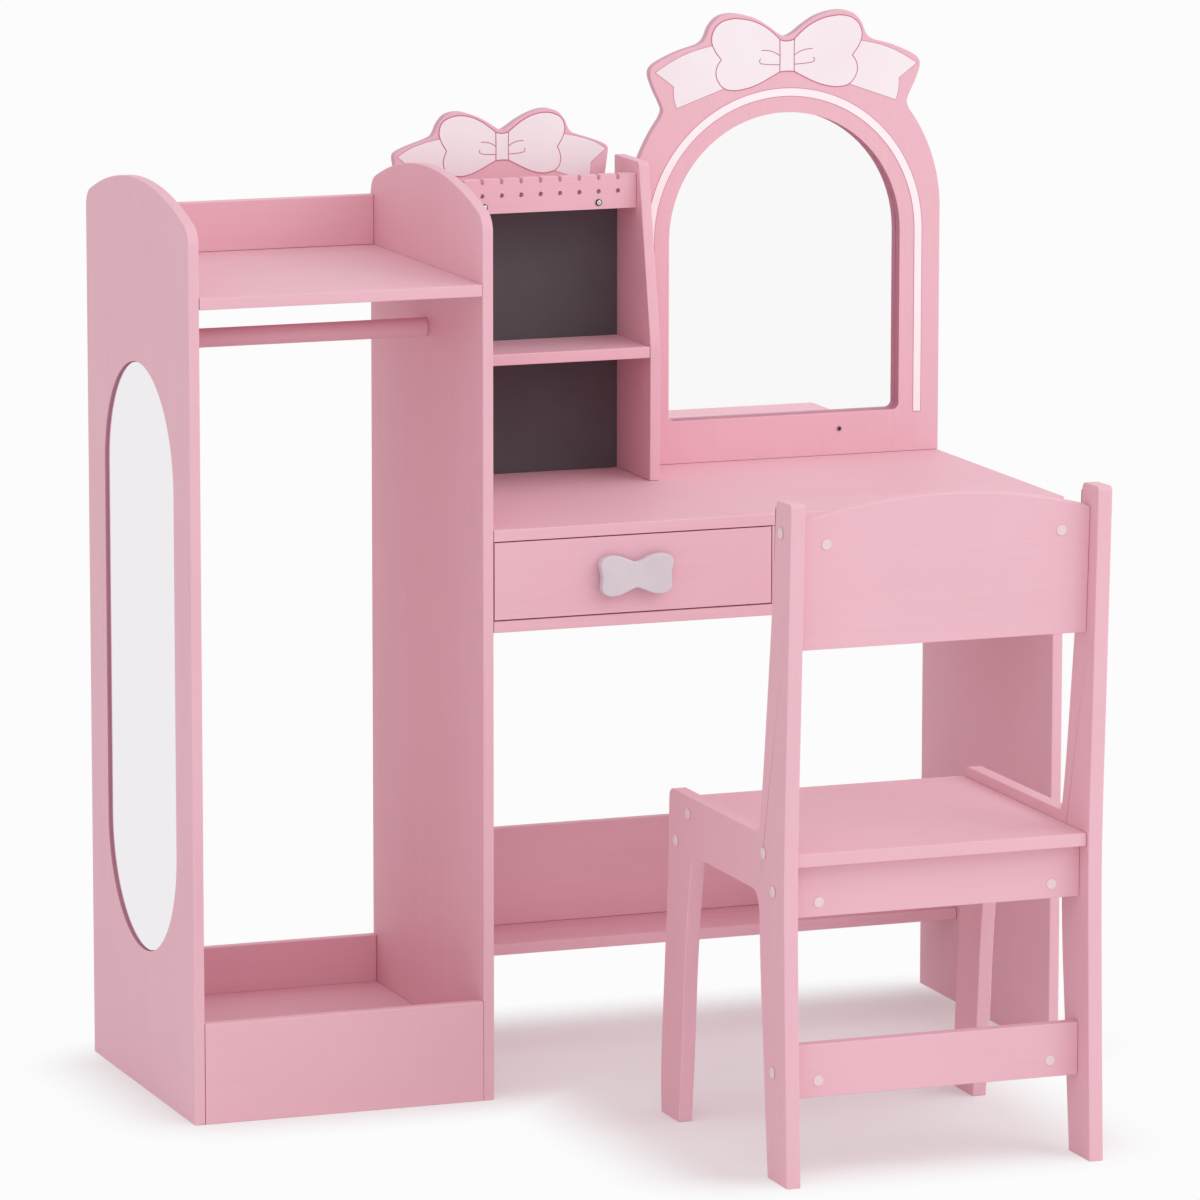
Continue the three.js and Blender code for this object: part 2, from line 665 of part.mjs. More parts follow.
function mirror() {
  const sheet = mirrorOpening(new THREE.Shape(), mirrorMargin);
  const glassFront = depth + seam;
  const backingFront = glassFront + glassThickness + seam;
  const outline = mirrorBoardOutline();
  const plate = frontPanel("mirror_board", pinkPaint, outline, rearFace, uprightThickness);
  plate.position.x = seam / 2;
  const fixing = screw("mirror_board_screw", screwSteel, mirrorScrew);
  fixing.rotation.x = Math.PI;
  fixing.position.set(mirrorScrewOffset, rearFace, deskHeight + mirrorScrewRise);
  const group = new THREE.Group();
  group.position.x = mirrorMiddle;
  group.add(
    combine(plate, [boreFor(fixing, mirrorScrew)], "subtract"),
    frontPanel("mirror_glass", mirrorGlass, sheet, glassFront, glassThickness),
    frontPanel("mirror_backing", mirrorBacking, sheet, backingFront, mirrorBackingThickness),
    fixing,
  );
  return group;
}

// A chair side in one piece: two legs, the seat rail and the leaning back post.
function chairSideOutline() {
  const place = (height, foot = 0) => {
    return ([back, up]) => new THREE.Vector2(back * chairDepth, foot + up * height);
  };
  const leg = place(chairRailBottom);
  const front = place(chairRailTop);
  const post = place(chairHeight - chairRailTop, chairRailTop);
  const rear = place(chairHeight);
  const shape = new THREE.Shape();
  const turn = (corner, end) => shape.quadraticCurveTo(corner.x, corner.y, end.x, end.y);
  const edge = (point) => shape.lineTo(point.x, point.y);
  const [rearFoot, ...rearLeg] = chairLegShares.rear.map(leg);
  shape.moveTo(0, 0);
  edge(rearFoot);
  shape.splineThru(rearLeg);
  turn(...chairLegShares.rearTurn.map(leg));
  const [railEnd, frontCorner, frontLegTop] = chairLegShares.frontTurn.map(leg);
  edge(railEnd);
  turn(frontCorner, frontLegTop);
  shape.splineThru(chairLegShares.front.map(leg));
  const [toe, ...frontEdge] = chairFrontShares.edge.map(front);
  edge(toe);
  shape.splineThru(frontEdge);
  turn(...chairFrontShares.turn.map(front));
  const [postToe, postCorner] = chairPostShares.foot.map(post);
  const [postStart, ...postFront] = chairPostShares.front.map(post);
  edge(postToe);
  turn(postCorner, postStart);
  shape.splineThru(postFront);
  const [crownFront, crownStart, crownEnd, crownRear, rearStart] = chairPostShares.crown.map(post);
  turn(crownFront, crownStart);
  edge(crownEnd);
  turn(crownRear, rearStart);
  shape.splineThru(chairRearShares.map(rear));
  return shape;
}

// The backrest board, with a flat arch on top, drawn from its lower left corner.
function backrestOutline() {
  const width = chairInside[1] - chairInside[0];
  const rise = chairBackCrestHeight - chairBackEndHeight;
  const radius = (width ** 2 / 4 + rise ** 2) / (2 * rise);
  const halfAngle = Math.asin(width / 2 / radius);
  const shape = new THREE.Shape();
  shape.moveTo(0, 0);
  shape.lineTo(width, 0);
  const crest = Math.PI / 2;
  shape.absarc(width / 2, chairBackCrestHeight - radius, radius, crest - halfAngle, crest + halfAngle);
  shape.closePath();
  return shape;
}

// Where the screws enter the chair sides: back from the rear feet and up from the floor.
function chairScrewPlaces() {
  const half = chairBoardThickness / 2;
  const sin = Math.sin(chairBackLean);
  const cos = Math.cos(chairBackLean);
  return {
    seat_rear: [chairSeatScrewInsets.rear, chairSeatTop - half],
    seat_front: [chairDepth - chairSeatScrewInsets.front, chairSeatTop - half],
    rear_apron: [chairRearApronInset + half, chairApronMiddle],
    front_apron: [chairFrontApronRear + half, chairApronMiddle],
    stretcher: [chairStretcherInset + half, chairStretcherBottom + chairStretcherHeight / 2],
    backrest: [
      chairBackInset + half * cos - chairBackScrewHeight * sin,
      chairBackBottom + half * sin + chairBackScrewHeight * cos,
    ],
  };
}

function chairScrewAt(side, place, [back, up]) {
  const mesh = screw("chair_" + side + "_screw_" + place, capPlastic, chairScrew);
  mesh.rotation.z = side === "left" ? Math.PI / 2 : -Math.PI / 2;
  mesh.position.set(side === "left" ? 0 : chairWidth, back, up);
  return mesh;
}

function chair() {
  const places = Object.entries(chairScrewPlaces());
  const screwsOf = (side) => places.map(([place, at]) => chairScrewAt(side, place, at));
  const screws = { left: screwsOf("left"), right: screwsOf("right") };
  const bores = Object.values(screws).flat().map((mesh) => boreFor(mesh, chairScrew));
  const side = chairSideOutline();
  const rightSideLeft = chairWidth - chairSideThickness;
  const seatDepth = [chairSeatInset, chairDepth - chairSeatFrontInset];
  const apron = [chairApronMiddle - chairApronHeight / 2, chairApronMiddle + chairApronHeight / 2];
  const stretcher = [chairStretcherBottom, chairStretcherBottom + chairStretcherHeight];
  const thick = (from) => [from, from + chairBoardThickness];
  const backrest = frontPanel("chair_backrest", pinkPaint, backrestOutline(), 0, chairBoardThickness);
  backrest.rotation.x += chairBackLean;
  backrest.position.set(
    chairInside[0],
    chairBackInset + chairBoardThickness * Math.cos(chairBackLean),
    chairBackBottom + chairBoardThickness * Math.sin(chairBackLean),
  );
  const boards = [
    sidePanel("chair_left_side", pinkPaint, side, 0, chairSideThickness, splineSegments),
    sidePanel("chair_right_side", pinkPaint, side, rightSideLeft, chairSideThickness, splineSegments),
    board("chair_seat", pinkPaint, chairInside, seatDepth, [chairSeatBottom, chairSeatTop]),
    board("chair_rear_apron", pinkPaint, chairInside, thick(chairRearApronInset), apron),
    board("chair_front_apron", pinkPaint, chairInside, thick(chairFrontApronRear), apron),
    board("chair_stretcher", pinkPaint, chairInside, thick(chairStretcherInset), stretcher),
    backrest,
  ];
  const group = new THREE.Group();
  group.position.set(chairLeft, -chairStandoff, 0);
  group.add(...boards.map((mesh) => combine(mesh, bores, "subtract")), ...screws.left, ...screws.right);
  return group;
}

// The whole set, moved so that the origin is on the floor under the middle of its bounding box
const vanitySet = new THREE.Group();
vanitySet.add(wardrobe(), desk(), drawers(), tower(), mirror(), chair());
const middle = new THREE.Box3().setFromObject(vanitySet, true).getCenter(new THREE.Vector3());
vanitySet.position.set(-middle.x, -middle.y, 0);
const vanity = new THREE.Group();
vanity.add(vanitySet);

export default vanity;
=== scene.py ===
# %% [markdown]
# # A child's dressing set in painted board
# The set is a narrow open wardrobe, a desk with two drawers, a jewellery tower, an arched mirror
# and a small chair. The CAD model is already exact, so Blender's work is what the CAD leaves out:
# the soft edges of painted board, the paint itself, the bows and the stripe, the mirrors, the light.
# Everything is in metres, with Z up and the front of the set towards -Y.

# %% Load the frame
import json
import math
import bmesh
import bpy
from mathutils import Matrix, Vector
from mathutils.bvhtree import BVHTree


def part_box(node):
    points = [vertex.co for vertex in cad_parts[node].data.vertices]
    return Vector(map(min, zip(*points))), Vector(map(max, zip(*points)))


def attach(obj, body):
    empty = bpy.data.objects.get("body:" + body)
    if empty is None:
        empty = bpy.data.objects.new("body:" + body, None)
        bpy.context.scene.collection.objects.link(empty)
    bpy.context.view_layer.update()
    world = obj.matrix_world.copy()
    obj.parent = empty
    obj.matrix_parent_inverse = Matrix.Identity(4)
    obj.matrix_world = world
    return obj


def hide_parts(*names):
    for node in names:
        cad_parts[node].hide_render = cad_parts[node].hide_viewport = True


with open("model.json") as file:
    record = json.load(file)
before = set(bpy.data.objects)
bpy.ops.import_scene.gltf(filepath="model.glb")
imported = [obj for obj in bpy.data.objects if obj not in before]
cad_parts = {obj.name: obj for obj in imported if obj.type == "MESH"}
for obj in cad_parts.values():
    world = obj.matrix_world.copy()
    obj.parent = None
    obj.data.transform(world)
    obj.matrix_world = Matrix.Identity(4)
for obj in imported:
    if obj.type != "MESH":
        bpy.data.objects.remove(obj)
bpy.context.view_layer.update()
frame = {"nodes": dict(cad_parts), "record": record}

MM = 0.001
cad_nodes = frame["nodes"]
body_of_node = {}
for body, members in frame["record"]["behaviour"]["bodies"].items():
    for member in members:
        body_of_node[member] = body

# %% [markdown]
# ## Camera
# The picture to match was taken with a long lens from the front left, a little above the set.
# A long lens keeps upright boards nearly parallel. The camera is turned about Z towards the set,
# tipped down from level, and rolled by a hair about its own axis.

# %% Camera
CAMERA_PLACE = (-2.3524, -6.1711, 1.6003)
CAMERA_YAW = math.radians(20.475)
CAMERA_PITCH = math.radians(9.997)
CAMERA_ROLL = math.radians(0.057)
LENS_MM = 235.86

turned = Matrix.Rotation(-CAMERA_YAW, 3, "Z")
tipped = Matrix.Rotation(math.pi / 2 - CAMERA_PITCH, 3, "X")
rolled = Matrix.Rotation(CAMERA_ROLL, 3, "Z")
camera_turn = (turned @ tipped @ rolled).to_euler()
bpy.ops.object.camera_add(location=CAMERA_PLACE, rotation=camera_turn)
camera = bpy.context.object
camera.name = "camera"
camera.data.lens = LENS_MM
bpy.context.scene.camera = camera
print("camera stands", round(Vector(CAMERA_PLACE).length, 2), "m from the set")

# %% [markdown]
# ## Node helpers
# Each finish below is a small node tree. Colours are easiest to judge as the 0 to 255 numbers of a
# picture, while Blender's sockets want linear light, so one helper turns the first into the second.
# Another adds a node, and a third makes a new material and hands back its shader.

# %% Node helpers
FULL_CHANNEL = 255
LINEAR_TOE = 0.04045
TOE_SLOPE = 12.92
CURVE_OFFSET = 0.055
CURVE_POWER = 2.4


def linear(red, green, blue):
    """A colour given in 0 to 255 as the linear colour that a socket wants."""
    channels = []
    for value in (red / FULL_CHANNEL, green / FULL_CHANNEL, blue / FULL_CHANNEL):
        dark = value / TOE_SLOPE
        light = ((value + CURVE_OFFSET) / (1 + CURVE_OFFSET)) ** CURVE_POWER
        channels.append(dark if value <= LINEAR_TOE else light)
    return (*channels, 1.0)


def add_node(material, kind, **settings):
    node = material.node_tree.nodes.new(kind)
    for setting, value in settings.items():
        setattr(node, setting, value)
    return node


def join(material, output, socket):
    material.node_tree.links.new(output, socket)


def new_finish(name, metallic=0.0, roughness=0.5):
    material = bpy.data.materials.new(name)
    material.use_nodes = True
    shader = material.node_tree.nodes["Principled BSDF"]
    shader.inputs["Metallic"].default_value = metallic
    shader.inputs["Roughness"].default_value = roughness
    return material, shader


print("white is", linear(255, 255, 255), "and mid grey", round(linear(128, 0, 0)[0], 3))

# %% [markdown]
# ## Patterns that every finish shares
# A real surface is never one flat colour. Three patterns make most of the difference: streaks that
# run along the board, where the paint sinks into the fibres; a slow cloud, where it lies thicker or
# thinner; and the fine orange peel of a sprayed coat. All three read Object coordinates, so they
# stay on the board when it moves. A Mapping node squeezes the streaks across the grain. The Mix
# node has sockets of one name for numbers, vectors and colours, so its colours go by number.

# %% Patterns
GRAIN_ACROSS = 420.0
GRAIN_ALONG = 7.0
CLOUD_SCALE = 9.0
PEEL_SCALE = 1500.0
GRAIN_AXES = {"x": 0, "y": 1, "z": 2}
FIRST_COLOUR = 6
SECOND_COLOUR = 7
MIXED_COLOUR = 2


def noise(material, vector, scale, detail, roughness=0.5):
    pattern = add_node(material, "ShaderNodeTexNoise")
    pattern.inputs["Scale"].default_value = scale
    pattern.inputs["Detail"].default_value = detail
    pattern.inputs["Roughness"].default_value = roughness
    join(material, vector, pattern.inputs["Vector"])
    return pattern.outputs["Fac"]


def spread(material, pattern, low, high, start=0.3, end=0.7):
    """The pattern's middle range, start to end, stretched to run from low to high."""
    ranged = add_node(material, "ShaderNodeMapRange")
    ranged.inputs["From Min"].default_value = start
    ranged.inputs["From Max"].default_value = end
    ranged.inputs["To Min"].default_value = low
    ranged.inputs["To Max"].default_value = high
    join(material, pattern, ranged.inputs["Value"])
    return ranged.outputs["Result"]


def blend_colours(material, factor, first, second):
    """A Mix node from first to second, each a colour or another node's output."""
    mix = add_node(material, "ShaderNodeMix", data_type="RGBA")
    join(material, factor, mix.inputs["Factor"])
    for number, colour in ((FIRST_COLOUR, first), (SECOND_COLOUR, second)):
        socket = mix.inputs[number]
        if isinstance(colour, tuple):
            socket.default_value = colour
        else:
            join(material, colour, socket)
    return mix.outputs[MIXED_COLOUR]


print("a pattern's middle range is stretched over the whole of what it drives")

# %% Grain and bump
def object_place(material):
    return add_node(material, "ShaderNodeTexCoord").outputs["Object"]


def grain(material, axis):
    place = object_place(material)
    stretch = [GRAIN_ACROSS] * 3
    stretch[GRAIN_AXES[axis]] = GRAIN_ALONG
    squeezed = add_node(material, "ShaderNodeMapping")
    squeezed.inputs["Scale"].default_value = stretch
    join(material, place, squeezed.inputs["Vector"])
    streaks = noise(material, squeezed.outputs["Vector"], scale=1.0, detail=3.0, roughness=0.6)
    return place, streaks


def roughen(material, shader, heights, depth, strength=1.0):
    """Runs one height pattern after another into the shader's normal."""
    normal = None
    for height in heights:
        bump = add_node(material, "ShaderNodeBump")
        bump.inputs["Strength"].default_value = strength
        bump.inputs["Distance"].default_value = depth
        join(material, height, bump.inputs["Height"])
        if normal is not None:
            join(material, normal, bump.inputs["Normal"])
        normal = bump.outputs["Normal"]
    join(material, normal, shader.inputs["Normal"])


print("streaks repeat about every", round(1 / GRAIN_ACROSS / MM, 1), "mm")

# %% [markdown]
# ## Pink satin paint
# The boards are fibreboard with a matt satin paint. The grain runs the long way of each board, so
# each axis has a set of coats: z for boards that stand, x for boards that lie across and y for the
# side walls of the drawers. A set has six coats: the flat of the board; the rounded edge, a little
# paler, partly rubbed paint and partly a painted highlight where the edge catches light; the bottom
# of a seam, a deep rose that is painted shade between parts; the wall of a cut-out, a darker pink
# that is painted shade inside it; the sawn rim of a shaped board, a duller pink that is painted shade
# on its sides; and the end of a drawer front, a warm rose that is painted shade in the gap round it.

# %% Pink paint
PINK = linear(238, 188, 200)
PINK_DEEP = linear(235, 184, 197)
PINK_PALE = linear(240, 191, 203)
# Rubbed paint on the rounded edge, with a painted highlight where the edge catches light.
PINK_RUBBED_AND_LIT = linear(241, 194, 205)
# Painted shade: the deep rose at the bottom of a seam stands for the shade between parts.
SEAM_SHADE_PINK = linear(170, 84, 114)
SEAM_SHADE_DEEP = linear(158, 74, 104)
# Painted shade: the darker pink of a cut-out's wall stands for the shade inside it.
WALL_SHADE_PINK = linear(196, 134, 154)
WALL_SHADE_DEEP = linear(188, 126, 146)
# Painted shade: the duller pink of a shaped board's sawn rim stands for the shade on its sides.
RIM_SHADE_PINK = linear(224, 176, 194)
RIM_SHADE_DEEP = linear(216, 168, 187)
# Painted shade: the warm rose on the ends of a drawer front stands for the reddish shade in the gap.
END_SHADE_PINK = linear(234, 156, 178)
END_SHADE_DEEP = linear(228, 150, 172)
PAINT_GLOSS = (0.48, 0.6)
PAINT_SHEEN = 0.2
PAINT_DEPTH = 0.000012
CLOUD_SHARE = 0.5
COATS = {
    "along": (PINK, PINK_DEEP, PINK_PALE),
    "edge": (PINK_PALE, PINK, PINK_RUBBED_AND_LIT),
    "seam": (SEAM_SHADE_PINK, SEAM_SHADE_DEEP, SEAM_SHADE_PINK),
    "wall": (WALL_SHADE_PINK, WALL_SHADE_DEEP, WALL_SHADE_PINK),
    "rim": (RIM_SHADE_PINK, RIM_SHADE_DEEP, RIM_SHADE_PINK),
    "end": (END_SHADE_PINK, END_SHADE_DEEP, END_SHADE_PINK),
}
FLAT, EDGE, SEAM, WALL, RIM, END = range(len(COATS))


def pink_paint(name, axis, first, second, pale):
    material, shader = new_finish(name)
    place, streaks = grain(material, axis)
    cloud = noise(material, place, CLOUD_SCALE, detail=2.0)
    peel = noise(material, place, PEEL_SCALE, detail=1.0)
    streaked = blend_colours(material, spread(material, streaks, 0.0, 1.0), first, second)
    clouded = blend_colours(material, spread(material, cloud, 0.0, CLOUD_SHARE), streaked, pale)
    join(material, clouded, shader.inputs["Base Color"])
    join(material, spread(material, streaks, *PAINT_GLOSS), shader.inputs["Roughness"])
    shader.inputs["Specular IOR Level"].default_value = PAINT_SHEEN
    roughen(material, shader, [streaks, peel], PAINT_DEPTH)
    return material


paints = {}
for axis in GRAIN_AXES:
    paints[axis] = []
    for coat, colours in COATS.items():
        paints[axis].append(pink_paint(f"pink_paint_{coat}_{axis}", axis, *colours))
print("paints:", sorted(coat.name for coats in paints.values() for coat in coats))

# %% [markdown]
# ## Copying a CAD board to dress it
# The CAD mesh is a loose bag of triangles, which can't be bevelled. It stays as it is, hidden, and a
# copy of it is worked on instead: the corners that its triangles share are merged, so that the copy
# is one closed surface. It sits at the origin like its node, so it is in place already.

# %% Copy a board
MERGE_DISTANCE = 0.00002


def select_only(piece):
    bpy.ops.object.select_all(action="DESELECT")
    piece.select_set(True)
    bpy.context.view_layer.objects.active = piece


def in_edit_mode(piece, *steps):
    select_only(piece)
    bpy.ops.object.mode_set(mode="EDIT")
    bpy.ops.mesh.select_all(action="SELECT")
    for step, settings in steps:
        step(**settings)
    bpy.ops.object.mode_set(mode="OBJECT")


def copy_of(node, name):
    source = cad_nodes[node]
    piece = bpy.data.objects.new(name, source.data.copy())
    bpy.context.scene.collection.objects.link(piece)
    piece.data.materials.clear()
    select_only(piece)
    bpy.ops.mesh.customdata_custom_splitnormals_clear()
    in_edit_mode(piece, (bpy.ops.mesh.remove_doubles, {"threshold": MERGE_DISTANCE}))
    return piece


def wear(piece, *coats):
    """Fills the piece's material slots with the coats, in this order."""
    for coat in coats:
        piece.data.materials.append(coat)


# %% [markdown]
# ## Soft edges
# A router rounds the free edges of each board before it is painted. An edge that butts against
# another board is left square, because a rounded one would leave a groove. So the Bevel modifier
# works by weight: an edge gets the full weight if nothing stands close to its middle, and a small
# weight if another part does. A BVH tree of each part answers how far away the nearest one is. The
# same question tells which of the narrow new faces lie in a seam, and they take the seam's painted
# shade.

# %% Soft edges
EDGE_RADIUS = 0.0009
BEVEL_STEPS = 3
SHARP_ANGLE = math.radians(35)
JOINT_GAP = 0.00045
CRISP_WEIGHT = 0.35
CHAMFER_STEPS = 2
RIM_ANGLE = math.radians(60)

trees = {}
boxes = {}
gap = Vector((JOINT_GAP, JOINT_GAP, JOINT_GAP))
for node, source in cad_nodes.items():
    corners = [vertex.co for vertex in source.data.vertices]
    faces = [tuple(face.vertices) for face in source.data.polygons]
    trees[node] = BVHTree.FromPolygons(corners, faces)
    low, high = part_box(node)
    boxes[node] = (low - gap, high + gap)
print(len(trees), "search trees")

# %% Weigh the edges
def meets_another(node, point):
    for other, (low, high) in boxes.items():
        inside = all(low[axis] <= point[axis] <= high[axis] for axis in range(3))
        if other != node and inside and trees[other].find_nearest(point, JOINT_GAP)[0] is not None:
            return True
    return False


def weigh_edges(piece, node):
    shape = bmesh.new()
    shape.from_mesh(piece.data)
    weights = shape.edges.layers.float.new("bevel_weight_edge")
    for edge in shape.edges:
        if len(edge.link_faces) == 2 and edge.calc_face_angle() > SHARP_ANGLE:
            middle = (edge.verts[0].co + edge.verts[1].co) / 2
            edge[weights] = CRISP_WEIGHT if meets_another(node, middle) else 1.0
    shape.to_mesh(piece.data)
    shape.free()


print("an edge in a joint gets", CRISP_WEIGHT, "of the radius")

# %% Bevel and smooth
def apply_modifier(piece, kind, **settings):
    select_only(piece)
    bpy.ops.object.modifier_add(type=kind)
    modifier = piece.modifiers[-1]
    for setting, value in settings.items():
        setattr(modifier, setting, value)
    bpy.ops.object.modifier_apply(modifier=modifier.name)


def chamfer(piece, width, angle, **settings):
    """Bevels every edge that is sharper than the angle."""
    apply_modifier(piece, "BEVEL", width=width, limit_method="ANGLE", angle_limit=angle, **settings)


def smooth(piece, angle=SHARP_ANGLE):
    select_only(piece)
    bpy.ops.object.shade_smooth_by_angle(angle=angle)
    apply_modifier(piece, "WEIGHTED_NORMAL", keep_sharp=True)


def soften(piece, node, radius):
    weigh_edges(piece, node)
    apply_modifier(
        piece,
        "BEVEL",
        width=radius,
        segments=BEVEL_STEPS,
        limit_method="WEIGHT",
        use_clamp_overlap=False,
        loop_slide=False,
        material=EDGE,
    )
    smooth(piece)


def paint_seam_shade(piece, node):
    # A narrow face in a joint takes the deep rose of the painted seam shade.
    for face in piece.data.polygons:
        if face.material_index == EDGE and meets_another(node, face.center):
            face.material_index = SEAM


print("edges are rounded by", EDGE_RADIUS / MM, "mm")

# %% [markdown]
# ## The painted boards
# Which boards stand and which lie decides the way of the grain. The thin rail with the small
# notches, the two boards cut to a bow and the drawers take a smaller radius, because a big one would
# eat the notches and widen the gaps round the fronts. The ends of a drawer front look into such a
# gap and take a coat of their own, a warm rose of painted shade. The cut-outs that hold the mirrors
# take the darker pink of the walls, also painted shade.

# %% Paint the boards
UPRIGHT_BOARDS = (
    "wardrobe_left_side", "wardrobe_right_side", "desk_right_side", "drawer_divider",
    "tower_side", "chair_left_side", "chair_right_side",
)
CROSS_BOARDS = (
    "wardrobe_shelf", "wardrobe_back_rail", "bin_front", "bin_floor", "bin_back",
    "desk_top", "drawer_housing_floor", "desk_rear_apron", "low_shelf", "low_shelf_back",
    "tower_shelf", "tower_top_board", "chair_seat", "chair_backrest",
    "chair_rear_apron", "chair_front_apron", "chair_stretcher",
)
FINE_BOARDS = {"jewellery_rail": "x", "tower_header": "x", "mirror_board": "z"}
DRAWERS = ("drawer_left_", "drawer_right_")
BOX_BOARDS = {"left_wall": "y", "right_wall": "y", "rear_wall": "x", "bottom": "x"}
FINE_RADIUS = 0.0004


def dress(node, piece):
    """The piece stands for the node and rides on the node's body, and the node is hidden."""
    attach(piece, body_of_node[node])
    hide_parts(node)


def paint_board(node, axis, radius=EDGE_RADIUS):
    piece = copy_of(node, node + "_painted")
    wear(piece, *paints[axis])
    soften(piece, node, radius)
    paint_seam_shade(piece, node)
    dress(node, piece)
    return piece


for node in UPRIGHT_BOARDS:
    paint_board(node, "z")
for node in CROSS_BOARDS:
    paint_board(node, "x")
for node, axis in FINE_BOARDS.items():
    paint_board(node, axis, FINE_RADIUS)
for drawer in DRAWERS:
    for board, axis in BOX_BOARDS.items():
        paint_board(drawer + board, axis, FINE_RADIUS)
whole_boards = len(UPRIGHT_BOARDS) + len(CROSS_BOARDS) + len(FINE_BOARDS)
print("painted", whole_boards + len(DRAWERS) * len(BOX_BOARDS), "boards")

# %% Drawer fronts and cut-outs
FACING = 0.5
WALL_REACH = 0.002


def coat_faces(piece, coat, chosen):
    """Gives the coat to the faces that pass the test, apart from the rounded edges."""
    for face in piece.data.polygons:
        if face.material_index == FLAT and chosen(face):
            face.material_index = coat


def sideways(face):
    return abs(face.normal.y) < FACING


def in_mirror_opening(face):
    low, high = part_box("mirror_glass")
    half_width = (high.x - low.x) / 2
    above_spring = max(0.0, face.center.z - (high.z - half_width))
    from_middle = math.hypot(face.center.x - (low.x + high.x) / 2, above_spring)
    return sideways(face) and from_middle < half_width and face.center.z > low.z


def in_mirror_pocket(face):
    low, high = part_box("side_mirror")
    for axis in (1, 2):
        if not low[axis] - WALL_REACH < face.center[axis] < high[axis] + WALL_REACH:
            return False
    return abs(face.normal.x) < FACING


# The ends of the drawer fronts take the warm rose of painted shade in the gap round each front.
for drawer in DRAWERS:
    coat_faces(paint_board(drawer + "front", "x", FINE_RADIUS), END, sideways)
# The walls of the mirror's opening, and below of the side mirror's pocket, take painted shade.
coat_faces(bpy.data.objects["mirror_board_painted"], WALL, in_mirror_opening)
# The sawn rims of the shaped boards take a duller pink that is painted shade on their sides.
for shaped in ("mirror_board_painted", "tower_header_painted"):
    coat_faces(bpy.data.objects[shaped], RIM, sideways)
coat_faces(bpy.data.objects["wardrobe_left_side_painted"], WALL, in_mirror_pocket)
print("drawer ends, cut-outs and the rims of the shaped boards have their own coats")

# %% [markdown]
# ## Hanging rod
# The rod is a turned dowel, painted like the boards. A cylinder primitive is only the start: its
# ends are bevelled where they enter the sides, and the grain runs along the rod.

# %% Hanging rod
ROD_SIDES = 64
ROD_CHAMFER = 0.0006

rod_low, rod_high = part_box("hanging_rod")
rod_middle = (rod_low + rod_high) / 2
bpy.ops.object.select_all(action="DESELECT")
bpy.ops.mesh.primitive_cylinder_add(
    vertices=ROD_SIDES,
    radius=(rod_high.z - rod_low.z) / 2,
    depth=rod_high.x - rod_low.x,
    location=rod_middle,
    rotation=(0, math.pi / 2, 0),
)
rod = bpy.context.object
rod.name = "hanging_rod_painted"
bpy.ops.object.transform_apply(location=True, rotation=True, scale=True)
wear(rod, paints["x"][FLAT])
chamfer(rod, ROD_CHAMFER, SHARP_ANGLE, segments=CHAMFER_STEPS)
smooth(rod)
dress("hanging_rod", rod)
print("the rod is", round((rod_high.x - rod_low.x) / MM, 1), "mm long")

# %% [markdown]
# ## Chalkboard, hardboard, knobs, caps and screws
# The tower's rear panel is matt and nearly black, with a faint cloud of old chalk. The mirror's
# backing is brown hardboard. The knobs are satin white with a breath of pink, and so are the caps.
# The screws are bright zinc: a metal gets its colour from the shader's base colour alone, and its
# life from small changes in roughness. The rounded edges always take a piece's second slot, so the
# panel and the backing hold one coat in both.

# %% Small finishes
CHALKBOARD = linear(90, 86, 90)
CHALKBOARD_DUST = linear(97, 92, 96)
HARDBOARD = linear(150, 112, 78)
HARDBOARD_DARK = linear(126, 92, 62)
KNOB_WHITE = linear(221, 212, 219)
KNOB_SHADE = linear(215, 205, 213)
CAP_WHITE = linear(241, 220, 225)
CAP_SHADE = linear(234, 211, 217)
ZINC = linear(226, 225, 224)
# Painted shade for the sockets, slots and countersinks of the screws.
SOCKET_PAINTED_SHADE = linear(46, 34, 40)
SOCKET_SHADE = linear(58, 44, 50)
RING_PINK = linear(150, 112, 124)
RING_SHADE = linear(140, 104, 116)


def mottled(name, first, second, scale, roughness, depth, specular=0.4):
    """A coat of two near colours in soft patches, with a fine bump."""
    material, shader = new_finish(name)
    place = object_place(material)
    patches = noise(material, place, scale, detail=3.0)
    fine = noise(material, place, PEEL_SCALE, detail=2.0)
    colour = blend_colours(material, spread(material, patches, 0.0, 1.0), first, second)
    join(material, colour, shader.inputs["Base Color"])
    join(material, spread(material, fine, *roughness), shader.inputs["Roughness"])
    shader.inputs["Specular IOR Level"].default_value = specular
    roughen(material, shader, [fine], depth)
    return material


def bright_metal(name, colour, roughness):
    material, shader = new_finish(name, metallic=1.0)
    shader.inputs["Base Color"].default_value = colour
    place = object_place(material)
    fine = noise(material, place, PEEL_SCALE, detail=2.0)
    join(material, spread(material, fine, *roughness), shader.inputs["Roughness"])
    return material


chalkboard = mottled(
    "chalkboard", CHALKBOARD, CHALKBOARD_DUST,
    scale=14.0, roughness=(0.78, 0.92), depth=0.00004, specular=0.2,
)
hardboard = mottled(
    "hardboard", HARDBOARD, HARDBOARD_DARK,
    scale=320.0, roughness=(0.7, 0.85), depth=0.00008, specular=0.3,
)
knob_coat = mottled(
    "knob_coat", KNOB_WHITE, KNOB_SHADE, scale=30.0, roughness=(0.34, 0.44), depth=0.00002
)
cap_plastic = mottled(
    "cap_plastic", CAP_WHITE, CAP_SHADE, scale=60.0, roughness=(0.38, 0.5), depth=0.00002
)
zinc = bright_metal("zinc", ZINC, roughness=(0.16, 0.3))
socket_painted_shade = mottled(
    "socket_painted_shade", SOCKET_PAINTED_SHADE, SOCKET_SHADE,
    scale=90.0, roughness=(0.6, 0.8), depth=0.00001, specular=0.2,
)
